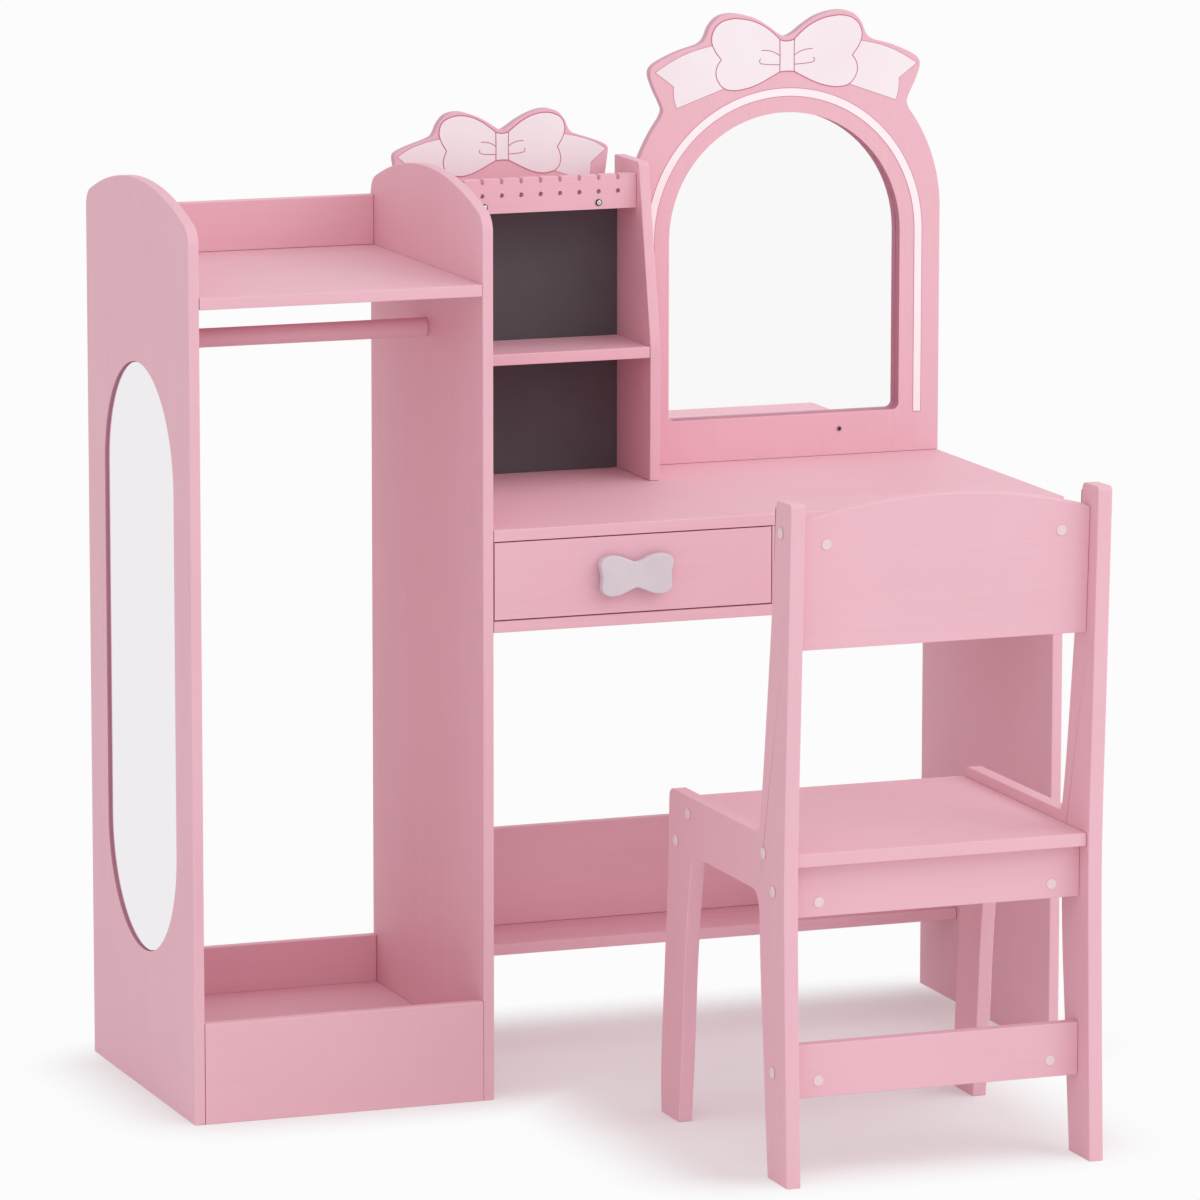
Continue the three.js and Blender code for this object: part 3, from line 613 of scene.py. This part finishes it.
ring_pink = mottled(
    "ring_pink", RING_PINK, RING_SHADE, scale=90.0, roughness=(0.4, 0.5), depth=0.00001
)
print("small finishes:", chalkboard.name, hardboard.name, knob_coat.name, cap_plastic.name, zinc.name)

# %% Chalkboard, backing and knobs
KNOB_SMOOTHING = math.radians(50)

for node, coat, slot in (
    ("chalkboard_panel", chalkboard, "dark_panel"),
    ("mirror_backing", hardboard, "mirror_backing"),
):
    piece = copy_of(node, node + "_finished")
    wear(piece, coat, coat)
    soften(piece, node, FINE_RADIUS)
    dress(node, piece)

for drawer in DRAWERS:
    node = drawer + "knob"
    knob = copy_of(node, node + "_coated")
    wear(knob, knob_coat)
    smooth(knob, KNOB_SMOOTHING)
    dress(node, knob)
knob_low, knob_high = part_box("drawer_left_knob")
print("the knob plate is", round((knob_high.x - knob_low.x) / MM, 1), "mm wide")

# %% [markdown]
# ## Screws and caps
# A chair screw is one CAD node: a pale cap outside the board and a steel shank in its bore. The faces
# of the head, which are the ones outside the side board, take the plastic, the others the steel. The
# tower's two screws show a bright face, and the dark of the countersink round it and of the cross
# slot is painted shade. The small screw of the mirror board is a painted ring round a socket whose
# dark is painted shade.

# %% Screws
CAP_RIM = 0.0004
HEAD_REACH = 0.002
STEEL, PLASTIC = range(2)


def is_cap_face(face, node):
    if node.startswith("chair_left"):
        return face.center.x < boxes["chair_left_side"][0].x + HEAD_REACH
    return face.center.x > boxes["chair_right_side"][1].x - HEAD_REACH


chair_screws = sorted(node for node in cad_nodes if node.startswith("chair_") and "screw" in node)
for node in chair_screws:
    screw = copy_of(node, node + "_capped")
    wear(screw, zinc, cap_plastic)
    chamfer(screw, CAP_RIM, RIM_ANGLE, segments=CHAMFER_STEPS)
    for face in screw.data.polygons:
        face.material_index = PLASTIC if is_cap_face(face, node) else STEEL
    smooth(screw)
    dress(node, screw)

print(len(chair_screws), "capped chair screws")

# %% Tower screws
SLOT_REACH = 0.0021
SLOT_DEPTH = 0.0006
HEAD_FACE = 0.00245
FACE_SHARE = 0.85
SLOT_SHARE = 0.45
BRIGHT, DARK = range(2)


def head_middle(node):
    low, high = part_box(node)
    return Vector(((low.x + high.x) / 2, low.y, (low.z + high.z) / 2))


def resize_ring(piece, middle, reach, share):
    """Scales the front points between two distances from the middle of a screw's head."""
    select_only(piece)
    bpy.ops.object.mode_set(mode="EDIT")
    bpy.ops.mesh.select_mode(type="VERT")
    bpy.ops.mesh.select_all(action="DESELECT")
    shape = bmesh.from_edit_mesh(piece.data)
    for vertex in shape.verts:
        away = math.hypot(vertex.co.x - middle.x, vertex.co.z - middle.z)
        at_front = vertex.co.y < middle.y + SLOT_DEPTH
        vertex.select_set(at_front and reach[0] <= away < reach[1])
    bmesh.update_edit_mesh(piece.data)
    bpy.ops.transform.resize(value=(share, 1, share), center_override=middle)
    bpy.ops.object.mode_set(mode="OBJECT")


for node in ("rail_screw_left", "rail_screw_right"):
    screw = copy_of(node, node + "_bright")
    wear(screw, zinc, socket_painted_shade)
    middle = head_middle(node)
    # Every face behind the front of the head, the slot and the countersink rim, takes the painted shade;
    # the rings are then drawn in so that more of it shows.
    for face in screw.data.polygons:
        face.material_index = BRIGHT if face.center.y < middle.y + MERGE_DISTANCE else DARK
    resize_ring(screw, middle, (0, SLOT_REACH), SLOT_SHARE)
    resize_ring(screw, middle, (SLOT_REACH, HEAD_FACE), FACE_SHARE)
    smooth(screw)
    dress(node, screw)
print("two screws with a bright face, a dark slot and a dark rim")

# %% Mirror board screw
RING_WIDTH = 0.0004
SOCKET_DEPTH = 0.0004

head_front = head_middle("mirror_board_screw").y


def on_head_front(face):
    return face.calc_center_median().y < head_front + MERGE_DISTANCE


def select_faces(piece, chosen):
    """Opens the piece in edit mode with only the faces selected that pass the test."""
    select_only(piece)
    bpy.ops.object.mode_set(mode="EDIT")
    bpy.ops.mesh.select_mode(type="FACE")
    bpy.ops.mesh.select_all(action="DESELECT")
    shape = bmesh.from_edit_mesh(piece.data)
    for face in shape.faces:
        face.select_set(chosen(face))
    bmesh.update_edit_mesh(piece.data)


small_screw = copy_of("mirror_board_screw", "mirror_board_screw_ringed")
wear(small_screw, ring_pink, socket_painted_shade)
select_faces(small_screw, on_head_front)
bpy.ops.mesh.inset(thickness=RING_WIDTH, depth=0)
# The sunken centre takes the painted shade of the socket.
bpy.ops.mesh.extrude_region_move(TRANSFORM_OT_translate={"value": (0, SOCKET_DEPTH, 0)})
small_screw.active_material_index = DARK
bpy.ops.object.material_slot_assign()
bpy.ops.object.mode_set(mode="OBJECT")
smooth(small_screw)
dress("mirror_board_screw", small_screw)
print("the small screw has", len(small_screw.data.polygons), "faces")

# %% [markdown]
# ## Mirrors
# A mirror is glass with silver behind it. From the front it acts like polished metal, so a metal
# shader with almost no roughness is enough, with a faint haze that changes slowly. The cut edge of
# the sheet is ground, and the bevelled rim takes a near white finish of its own that is partly the
# ground glass and partly a painted highlight along the edge.

# %% Mirrors
MIRROR_RIM = 0.0005
MIRROR_SMOOTHING = math.radians(20)
MIRROR_HAZE = (0.0, 0.02)
HAZE_SCALE = 6.0
SILVER_TINTS = {"mirror_glass": linear(252, 251, 251), "side_mirror": linear(238, 235, 239)}
GLASS_EDGE_AND_HIGHLIGHT = linear(246, 246, 248)
GLASS_EDGE_SHADE = linear(238, 240, 243)


def silvered(name, tint):
    material, shader = new_finish(name, metallic=1.0)
    shader.inputs["Base Color"].default_value = tint
    place = object_place(material)
    slow = noise(material, place, HAZE_SCALE, detail=1.0)
    join(material, spread(material, slow, *MIRROR_HAZE), shader.inputs["Roughness"])
    return material


# Near white: ground glass with a painted highlight along the edge.
glass_edge_highlight = mottled(
    "glass_edge_highlight", GLASS_EDGE_AND_HIGHLIGHT, GLASS_EDGE_SHADE, scale=40.0, roughness=(0.2, 0.3), depth=0.00001
)
for node, tint in SILVER_TINTS.items():
    sheet = copy_of(node, node + "_silvered")
    wear(sheet, silvered(node + "_silver", tint), glass_edge_highlight)
    chamfer(sheet, MIRROR_RIM, RIM_ANGLE, segments=1, material=EDGE)
    smooth(sheet, MIRROR_SMOOTHING)
    dress(node, sheet)
print("two silvered sheets")

# %% [markdown]
# ## The painted bows
# Both boards are cut to a bow, and the bow itself is printed on them in a pale pink with fine darker
# lines. Each part of it, a tail, a loop, the knot, is drawn as a Bezier outline, because its smooth
# handles give the curves and its vector handles the sharp tips. Each shape is drawn a little smaller
# over a copy in the darker ink, which shows round it as its outline. The layers are hundredths of a
# millimetre apart, as layers of ink are, so that the upper ones hide the lower ones.

# %% Bow inks
BOW_PALE = linear(248, 240, 243)
BOW_SHADE = linear(245, 233, 238)
BOW_LINE = linear(202, 112, 142)
BOW_LINE_SHADE = linear(194, 104, 134)
STRIPE_WHITE = linear(254, 246, 249)
STRIPE_SHADE = linear(252, 242, 245)
LINE_HALF = 0.00045
FOLD_HALF = 0.0007
INK_STEP = 0.00007
INK_MERGE = 0.000002
INK_GLOSS = (0.42, 0.52)
INK_DEPTH = 0.00002
INK_CLOUD = 12.0
LINE_CLOUD = 40.0

bow_pale = mottled("bow_pale", BOW_PALE, BOW_SHADE, INK_CLOUD, INK_GLOSS, INK_DEPTH)
bow_line = mottled("bow_line", BOW_LINE, BOW_LINE_SHADE, LINE_CLOUD, INK_GLOSS, INK_DEPTH)
stripe_white = mottled("stripe_white", STRIPE_WHITE, STRIPE_SHADE, INK_CLOUD, INK_GLOSS, INK_DEPTH)
print("a printed line is", 2 * LINE_HALF / MM, "mm wide")

# %% [markdown]
# Half a bow is enough: the points run round each shape, in millimetres to the right of the bow's
# middle and above its base. The list of corners says where the outline turns sharply. The other half
# comes from the Mirror modifier.

# %% Bow outlines
MIRROR_BOW = {
    "tail": [(72, 72.2), (91, 67.7), (108.6, 60.4), (126.3, 49.9), (108.8, 36.9), (108.2, 26),
             (105.7, 16.8), (83.2, 24.8), (60.5, 32.8), (55, 45), (55, 60)],
    "loop": [(5, 73.6), (17.8, 85), (30, 91.6), (42.5, 94.8), (55.9, 94.9), (65.5, 91), (70.6, 84.5),
             (72.2, 76.5), (69.9, 69), (63, 59), (66.7, 53.4), (68, 46.8), (65.4, 39), (60, 33.4),
             (51.5, 31.3), (41, 32.1), (29.3, 35.4), (17.8, 40.7), (5, 47.5)],
    "knot": [(-7, 75), (0, 73.8), (7, 75), (6.8, 61), (6.9, 46.5), (0, 46.9), (-6.9, 46.5), (-6.8, 61)],
    "upper_fold": [(7, 61), (10.4, 63.2), (14.6, 65), (19.6, 66), (24.5, 66.3)],
    "lower_fold": [(7, 52.8), (15, 53.2), (22, 53.9), (25.6, 54.9), (26.4, 57), (25.2, 58.6)],
    "corners": [(126.3, 49.9), (108.8, 36.9), (105.7, 16.8), (60.5, 32.8), (63, 59), (5, 73.6),
                (5, 47.5), (-7, 75), (7, 75), (6.9, 46.5), (-6.9, 46.5), (72, 72.2), (55, 45), (55, 60)],
    "middle": 250.75,
    "base": 800,
}
HEADER_BOW = {
    "tail": [(58.5, 46.9), (73.5, 43.7), (87.3, 38.8), (98.2, 32.2), (84, 20.6), (83.2, 10.5),
             (81.5, 3.2), (65, 8.6), (48.9, 14.3), (45, 25), (45, 40)],
    "loop": [(4, 48.9), (12.2, 55.5), (21.4, 61.6), (30.5, 65.2), (39.8, 66.5), (48.9, 65), (55.9, 60.7),
             (58.6, 54.4), (58.1, 47.2), (52, 35.6), (54.3, 29.9), (55, 24.1), (52.8, 17.7),
             (48.9, 14.3), (39.7, 12.7), (30.5, 14), (19.8, 18.4), (12.2, 22.3), (4, 26.5)],
    "knot": [(-6, 50.4), (0, 49.4), (6, 50.4), (5.8, 38), (5.9, 25.5), (0, 25.9), (-5.9, 25.5),
             (-5.8, 38)],
    "upper_fold": [(6, 38), (8.8, 39.9), (12.2, 41.4), (16, 42.2), (20, 42.3)],
    "lower_fold": [(6, 30.9), (12.2, 31.1), (17.6, 31.7), (20.6, 32.6), (21.3, 34.2), (20.6, 35.8)],
    "corners": [(98.2, 32.2), (84, 20.6), (81.5, 3.2), (48.9, 14.3), (52, 35.6), (4, 48.9), (4, 26.5),
                (-6, 50.4), (6, 50.4), (5.9, 25.5), (-5.9, 25.5), (58.5, 46.9), (45, 25), (45, 40)],
    "middle": -19.55,
    "base": 752.25,
}
for bow in (MIRROR_BOW, HEADER_BOW):
    print("a bow is", 2 * max(across for across, up in bow["tail"]), "mm wide")

# %% Draw one shape
SHAPE_STEPS = 10
FOLD_STEPS = 6


def place_points(spline, points, corners):
    spline.bezier_points.add(len(points) - len(spline.bezier_points))
    for knot, (across, up) in zip(spline.bezier_points, points):
        knot.co = (across * MM, up * MM, 0)
        kind = "VECTOR" if (across, up) in corners else "AUTO"
        knot.handle_left_type = kind
        knot.handle_right_type = kind


def ink_mesh(ink):
    """Turns the curve that was just drawn into a closed mesh that wears the ink."""
    bpy.ops.object.convert(target="MESH")
    shape = bpy.context.object
    shape.data.materials.clear()
    wear(shape, ink)
    in_edit_mode(
        shape,
        (bpy.ops.mesh.remove_doubles, {"threshold": INK_MERGE}),
        (bpy.ops.mesh.normals_make_consistent, {"inside": False}),
    )
    return shape


def ink_shape(bow, part, front, layer, grow, ink):
    """A flat closed shape on the board's front, as thick as its layer is high."""
    thickness = INK_STEP * (layer + 1)
    place = (bow["middle"] * MM, front - thickness / 2 + INK_STEP / 2, bow["base"] * MM)
    bpy.ops.object.select_all(action="DESELECT")
    bpy.ops.curve.primitive_bezier_circle_add(location=place, rotation=(math.pi / 2, 0, 0))
    curve = bpy.context.object
    place_points(curve.data.splines[0], bow[part], bow["corners"])
    curve.data.dimensions = "2D"
    curve.data.fill_mode = "BOTH"
    curve.data.resolution_u = SHAPE_STEPS
    curve.data.offset = grow
    curve.data.extrude = thickness / 2
    return ink_mesh(ink)


def ink_line(bow, part, front, layer):
    """A fold line: a thin tube that follows the points, pressed flat onto the board."""
    place = (bow["middle"] * MM, front, bow["base"] * MM)
    bpy.ops.object.select_all(action="DESELECT")
    bpy.ops.curve.primitive_bezier_curve_add(location=place, rotation=(math.pi / 2, 0, 0))
    curve = bpy.context.object
    place_points(curve.data.splines[0], bow[part], ())
    curve.data.dimensions = "3D"
    curve.data.resolution_u = FOLD_STEPS
    curve.data.bevel_depth = FOLD_HALF
    curve.data.bevel_resolution = 1
    curve.data.use_fill_caps = True
    shape = ink_mesh(bow_line)
    shape.scale = (1, 1, INK_STEP * (layer + 1) / FOLD_HALF)
    return shape


print("shapes are drawn with", SHAPE_STEPS, "steps between two points")

# %% [markdown]
# The layers go on from the back to the front: tail outline, tail, loop outline, loop, folds, and
# last the knot. The right half is joined and mirrored, then the knot joins it, and the whole print
# is one piece that rides with its board.

# %% Print the bows
TAIL_LINE, TAIL, LOOP_LINE, LOOP, FOLDS, KNOT = range(1, 7)


def join_pieces(pieces):
    bpy.ops.object.select_all(action="DESELECT")
    for piece in pieces:
        piece.select_set(True)
    bpy.context.view_layer.objects.active = pieces[0]
    bpy.ops.object.join()
    return pieces[0]


def print_bow(bow, node, name):
    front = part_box(node)[0].y
    half = [
        ink_shape(bow, "tail", front, TAIL_LINE, 0.0, bow_line),
        ink_shape(bow, "tail", front, TAIL, -LINE_HALF, bow_pale),
        ink_shape(bow, "loop", front, LOOP_LINE, LINE_HALF, bow_line),
        ink_shape(bow, "loop", front, LOOP, -LINE_HALF, bow_pale),
        ink_line(bow, "upper_fold", front, FOLDS),
        ink_line(bow, "lower_fold", front, FOLDS),
    ]
    painted = join_pieces(half)
    apply_modifier(painted, "MIRROR", use_axis=(True, False, False), use_mirror_merge=False)
    knot = [
        ink_shape(bow, "knot", front, FOLDS, LINE_HALF, bow_line),
        ink_shape(bow, "knot", front, KNOT, -LINE_HALF, bow_pale),
    ]
    join_pieces([painted, *knot])
    bpy.ops.object.transform_apply(location=True, rotation=True, scale=True)
    painted.name = name
    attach(painted, body_of_node[node])
    print(name, "has", len(painted.data.polygons), "faces")


print_bow(MIRROR_BOW, "mirror_board", "mirror_bow_print")
print_bow(HEADER_BOW, "tower_header", "tower_bow_print")

# %% [markdown]
# ## The white stripe round the mirror
# A stripe of the same pale ink follows the opening. It starts as a plane that is the right leg. Its
# top edge is spun half a turn about the middle of the arch, and the far edge is pulled straight down
# to make the left leg. An inset then gives the darker line along both sides.

# %% Mirror stripe
STRIPE_MIDDLE = 0.24975
STRIPE_SPRING = 0.6989
STRIPE_BOTTOM = 0.533
STRIPE_INNER = 0.1252
STRIPE_OUTER = 0.1331
STRIPE_LINE = 0.00045
STRIPE_STEPS = 72
STRIPE_LIFT = 0.0002
PALE_INK, DARK_INK = range(2)

board_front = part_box("mirror_board")[0].y
leg = STRIPE_SPRING - STRIPE_BOTTOM
bpy.ops.object.select_all(action="DESELECT")
bpy.ops.mesh.primitive_plane_add(
    size=1.0,
    location=(STRIPE_MIDDLE + (STRIPE_INNER + STRIPE_OUTER) / 2, board_front, STRIPE_BOTTOM + leg / 2),
    rotation=(math.pi / 2, 0, 0),
)
stripe = bpy.context.object
stripe.name = "mirror_stripe_print"
stripe.scale = (STRIPE_OUTER - STRIPE_INNER, leg, 1)
bpy.ops.object.transform_apply(location=True, rotation=True, scale=True)


def select_edges(piece, chosen):
    """Selects the edges whose middle passes the test, and nothing else."""
    bpy.ops.mesh.select_mode(type="EDGE")
    bpy.ops.mesh.select_all(action="DESELECT")
    shape = bmesh.from_edit_mesh(piece.data)
    for edge in shape.edges:
        if chosen((edge.verts[0].co + edge.verts[1].co) / 2):
            edge.select_set(True)
    shape.select_flush(True)
    bmesh.update_edit_mesh(piece.data)


select_only(stripe)
bpy.ops.object.mode_set(mode="EDIT")
select_edges(stripe, lambda middle: middle.z > STRIPE_SPRING - STRIPE_LINE)
bpy.ops.mesh.spin(
    steps=STRIPE_STEPS,
    angle=math.pi,
    center=(STRIPE_MIDDLE, board_front, STRIPE_SPRING),
    axis=(0, 1, 0),
)
bpy.ops.object.mode_set(mode="OBJECT")
print("the arch of the stripe reaches", round(max(v.co.z for v in stripe.data.vertices) / MM, 1), "mm")

# %% Left leg, outline and thickness of the stripe
def on_left_end(middle):
    left_leg = STRIPE_MIDDLE - (STRIPE_INNER + STRIPE_OUTER) / 2
    return abs(middle.z - STRIPE_SPRING) < STRIPE_LINE and abs(middle.x - left_leg) < STRIPE_LINE


bpy.ops.object.mode_set(mode="EDIT")
select_edges(stripe, on_left_end)
bpy.ops.mesh.extrude_region_move(TRANSFORM_OT_translate={"value": (0, 0, -leg)})
bpy.ops.mesh.select_all(action="SELECT")
bpy.ops.mesh.remove_doubles(threshold=MERGE_DISTANCE)
bpy.ops.mesh.select_mode(type="FACE")
bpy.ops.mesh.select_all(action="SELECT")
bpy.ops.mesh.inset(thickness=STRIPE_LINE, depth=0)
bpy.ops.object.mode_set(mode="OBJECT")
wear(stripe, stripe_white, bow_line)
for face in stripe.data.polygons:
    face.material_index = PALE_INK if face.select else DARK_INK
facing = sum(face.normal.y * face.area for face in stripe.data.polygons)
if facing > 0:
    in_edit_mode(stripe, (bpy.ops.mesh.flip_normals, {}))
apply_modifier(stripe, "SOLIDIFY", thickness=STRIPE_LIFT, offset=1.0)
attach(stripe, "vanity")
print("the stripe has", len(stripe.data.polygons), "faces")

# %% [markdown]
# ## Caps on the back of the chair
# Small round caps cover the fittings in the backrest, the rear apron and the stretcher. One cap is
# modelled, a flat disc whose front rim is bevelled, and the six are copies of it, each with a mesh of
# its own. Each is set on the board behind it by a ray that is shot at the board, so that it sits
# flush and leans with the backrest.

# %% Rear caps
REAR_CAP_RADIUS = 0.0044
REAR_CAP_HEIGHT = 0.0008
REAR_CAP_SINK = 0.0002
REAR_CAP_SIDES = 40
REAR_CAP_FROM_SIDE = 0.0252
REAR_CAP_HEIGHTS = {"chair_backrest": 0.5338, "chair_rear_apron": 0.2336, "chair_stretcher": 0.0831}
BEHIND_CHAIR = -0.45
FORWARDS = Vector((0, 1, 0))
FACING_UP = 0.9


def faces_up(face):
    return face.normal.z > FACING_UP


bpy.ops.object.select_all(action="DESELECT")
bpy.ops.mesh.primitive_cylinder_add(
    vertices=REAR_CAP_SIDES, radius=REAR_CAP_RADIUS, depth=REAR_CAP_HEIGHT + REAR_CAP_SINK
)
first_cap = bpy.context.object
select_faces(first_cap, faces_up)
bpy.ops.mesh.bevel(offset=CAP_RIM, segments=BEVEL_STEPS)
bpy.ops.object.mode_set(mode="OBJECT")
print("a rear cap is", 2 * REAR_CAP_RADIUS / MM, "mm wide")

# %% Set the rear caps
def rear_cap(name, place, outwards):
    """A copy of the first cap, turned and moved onto the board."""
    cap = bpy.data.objects.new(name, first_cap.data.copy())
    bpy.context.scene.collection.objects.link(cap)
    select_only(cap)
    lift = (REAR_CAP_HEIGHT - REAR_CAP_SINK) / 2
    turn = outwards.to_track_quat("Z", "Y").to_matrix().to_4x4()
    cap.matrix_world = Matrix.Translation(place + outwards * lift) @ turn
    bpy.ops.object.transform_apply(location=True, rotation=True, scale=True)
    wear(cap, cap_plastic)
    smooth(cap)
    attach(cap, "chair")


for node, height in REAR_CAP_HEIGHTS.items():
    low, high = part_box(node)
    for side, across in (("left", low.x + REAR_CAP_FROM_SIDE), ("right", high.x - REAR_CAP_FROM_SIDE)):
        start = Vector((across, BEHIND_CHAIR, height))
        place, outwards = trees[node].ray_cast(start, FORWARDS)[:2]
        rear_cap(f"{node}_cap_{side}", place, outwards)
bpy.data.objects.remove(first_cap)
print("six caps on the rear of the chair")

# %% [markdown]
# ## Floor and light
# The set stands on a white studio floor that runs out to white, with only a soft shadow round it.
# For the camera and in the mirrors, the floor is part white light and part a real surface that takes
# the shadow, and the surface part fades out within a hand's breadth of the table and the chair. For
# all other light it is plain white paint. Four large soft lamps and an even white surround light the
# set: the strongest stands at the front right, and the one at the side throws the shadow under it.

# %% Floor
FLOOR_SIZE = 40.0
FLOOR_WHITE = linear(246, 244, 245)
SEEN_WHITE = linear(252, 252, 252)
SHADOW_SHARE = 0.8
SHADOW_REACH = 0.12
ANY_HEIGHT = 10.0
TABLE_GROUND = ((0.0, 0.175, 0.0), (0.37, 0.095, ANY_HEIGHT))
CHAIR_GROUND = ((0.11, -0.08, 0.0), (0.14, 0.18, ANY_HEIGHT))

bpy.ops.object.select_all(action="DESELECT")
bpy.ops.mesh.primitive_plane_add(size=FLOOR_SIZE, location=(0, 0, 0))
floor = bpy.context.object
floor.name = "studio_floor"
floor_finish = bpy.data.materials.new("studio_floor")
floor_finish.use_nodes = True
floor_finish.node_tree.nodes.clear()
surface = add_node(floor_finish, "ShaderNodeBsdfDiffuse")
surface.inputs["Color"].default_value = FLOOR_WHITE
glow = add_node(floor_finish, "ShaderNodeEmission")
glow.inputs["Color"].default_value = SEEN_WHITE
glow.inputs["Strength"].default_value = 1.0
floor_place = object_place(floor_finish)
print("the floor is", FLOOR_SIZE, "m wide")

# %% What is seen, and how far from the set
def seen_rays(finish):
    """1 for what the camera sees, also in a mirror or through glass, and 0 for all other light."""
    rays = add_node(finish, "ShaderNodeLightPath")
    seen = rays.outputs["Is Camera Ray"]
    for kind in ("Is Glossy Ray", "Is Transmission Ray"):
        either = add_node(finish, "ShaderNodeMath", operation="MAXIMUM")
        join(finish, seen, either.inputs[0])
        join(finish, rays.outputs[kind], either.inputs[1])
        seen = either.outputs["Value"]
    return seen


def vector_step(operation, vector, other=None):
    step = add_node(floor_finish, "ShaderNodeVectorMath", operation=operation)
    join(floor_finish, vector, step.inputs[0])
    if other is not None:
        step.inputs[1].default_value = other
    return step.outputs["Value" if operation == "LENGTH" else "Vector"]


def distance_from(ground):
    """How far a place on the floor lies outside a rectangle, given by its middle and half sides."""
    middle, half_sides = ground
    one_side = vector_step("ABSOLUTE", vector_step("SUBTRACT", floor_place, middle))
    beyond = vector_step("SUBTRACT", one_side, half_sides)
    return vector_step("LENGTH", vector_step("MAXIMUM", beyond, (0, 0, 0)))


print("the shadow zone follows the table and the chair at rest")

# %% Floor finish
nearest = add_node(floor_finish, "ShaderNodeMath", operation="MINIMUM")
join(floor_finish, distance_from(TABLE_GROUND), nearest.inputs[0])
join(floor_finish, distance_from(CHAIR_GROUND), nearest.inputs[1])
fade = add_node(floor_finish, "ShaderNodeMapRange", interpolation_type="SMOOTHSTEP")
join(floor_finish, nearest.outputs["Value"], fade.inputs["Value"])
fade.inputs["From Max"].default_value = SHADOW_REACH
fade.inputs["To Min"].default_value = SHADOW_SHARE
fade.inputs["To Max"].default_value = 0.0
near_mix = add_node(floor_finish, "ShaderNodeMixShader")
join(floor_finish, fade.outputs["Result"], near_mix.inputs["Fac"])
join(floor_finish, glow.outputs["Emission"], near_mix.inputs[1])
join(floor_finish, surface.outputs["BSDF"], near_mix.inputs[2])
whole_mix = add_node(floor_finish, "ShaderNodeMixShader")
join(floor_finish, seen_rays(floor_finish), whole_mix.inputs["Fac"])
join(floor_finish, surface.outputs["BSDF"], whole_mix.inputs[1])
join(floor_finish, near_mix.outputs["Shader"], whole_mix.inputs[2])
output = add_node(floor_finish, "ShaderNodeOutputMaterial")
join(floor_finish, whole_mix.outputs["Shader"], output.inputs["Surface"])
wear(floor, floor_finish)
print("the floor shows its shadow up to", SHADOW_REACH, "m from the set")

# %% Surround
SURROUND = 0.79

world = bpy.data.worlds.new("studio")
bpy.context.scene.world = world
world.use_nodes = True
world.node_tree.nodes.clear()
level = add_node(world, "ShaderNodeMapRange")
level.inputs["To Min"].default_value = SURROUND
level.inputs["To Max"].default_value = 1.0
join(world, seen_rays(world), level.inputs["Value"])
background = add_node(world, "ShaderNodeBackground")
background.inputs["Color"].default_value = SEEN_WHITE
join(world, level.outputs["Result"], background.inputs["Strength"])
world_output = add_node(world, "ShaderNodeOutputWorld")
join(world, background.outputs["Background"], world_output.inputs["Surface"])
print("the surround lights with", SURROUND, "and is seen as 1")

# %% Lamps
LAMPS = {
    "right": {"place": (2.6, -3.0, 3.0), "size": 2.6, "power": 33.0},
    "front": {"place": (-0.3, -2.6, 4.0), "size": 3.0, "power": 17.0},
    "low": {"place": (-2.4, -4.6, 1.0), "size": 2.4, "power": 9.0},
    "side": {"place": (3.2, -0.6, 2.4), "size": 1.6, "power": 14.0},
}
LAMP_TARGET = Vector((0.0, 0.0, 0.45))

for name, lamp in LAMPS.items():
    place = Vector(lamp["place"])
    aim = (LAMP_TARGET - place).to_track_quat("-Z", "Y").to_euler()
    bpy.ops.object.light_add(type="AREA", radius=lamp["size"], location=place, rotation=aim)
    light = bpy.context.object
    light.name = name + "_light"
    light.data.shape = "SQUARE"
    light.data.size = lamp["size"]
    light.data.energy = lamp["power"]
    print(light.name, "is", round((LAMP_TARGET - place).length, 2), "m from the set")

# %% [markdown]
# ## Finish
# The colours are shown as they are written: the Standard view does not bend them.

# %% Finish
bpy.context.scene.view_settings.view_transform = "Standard"
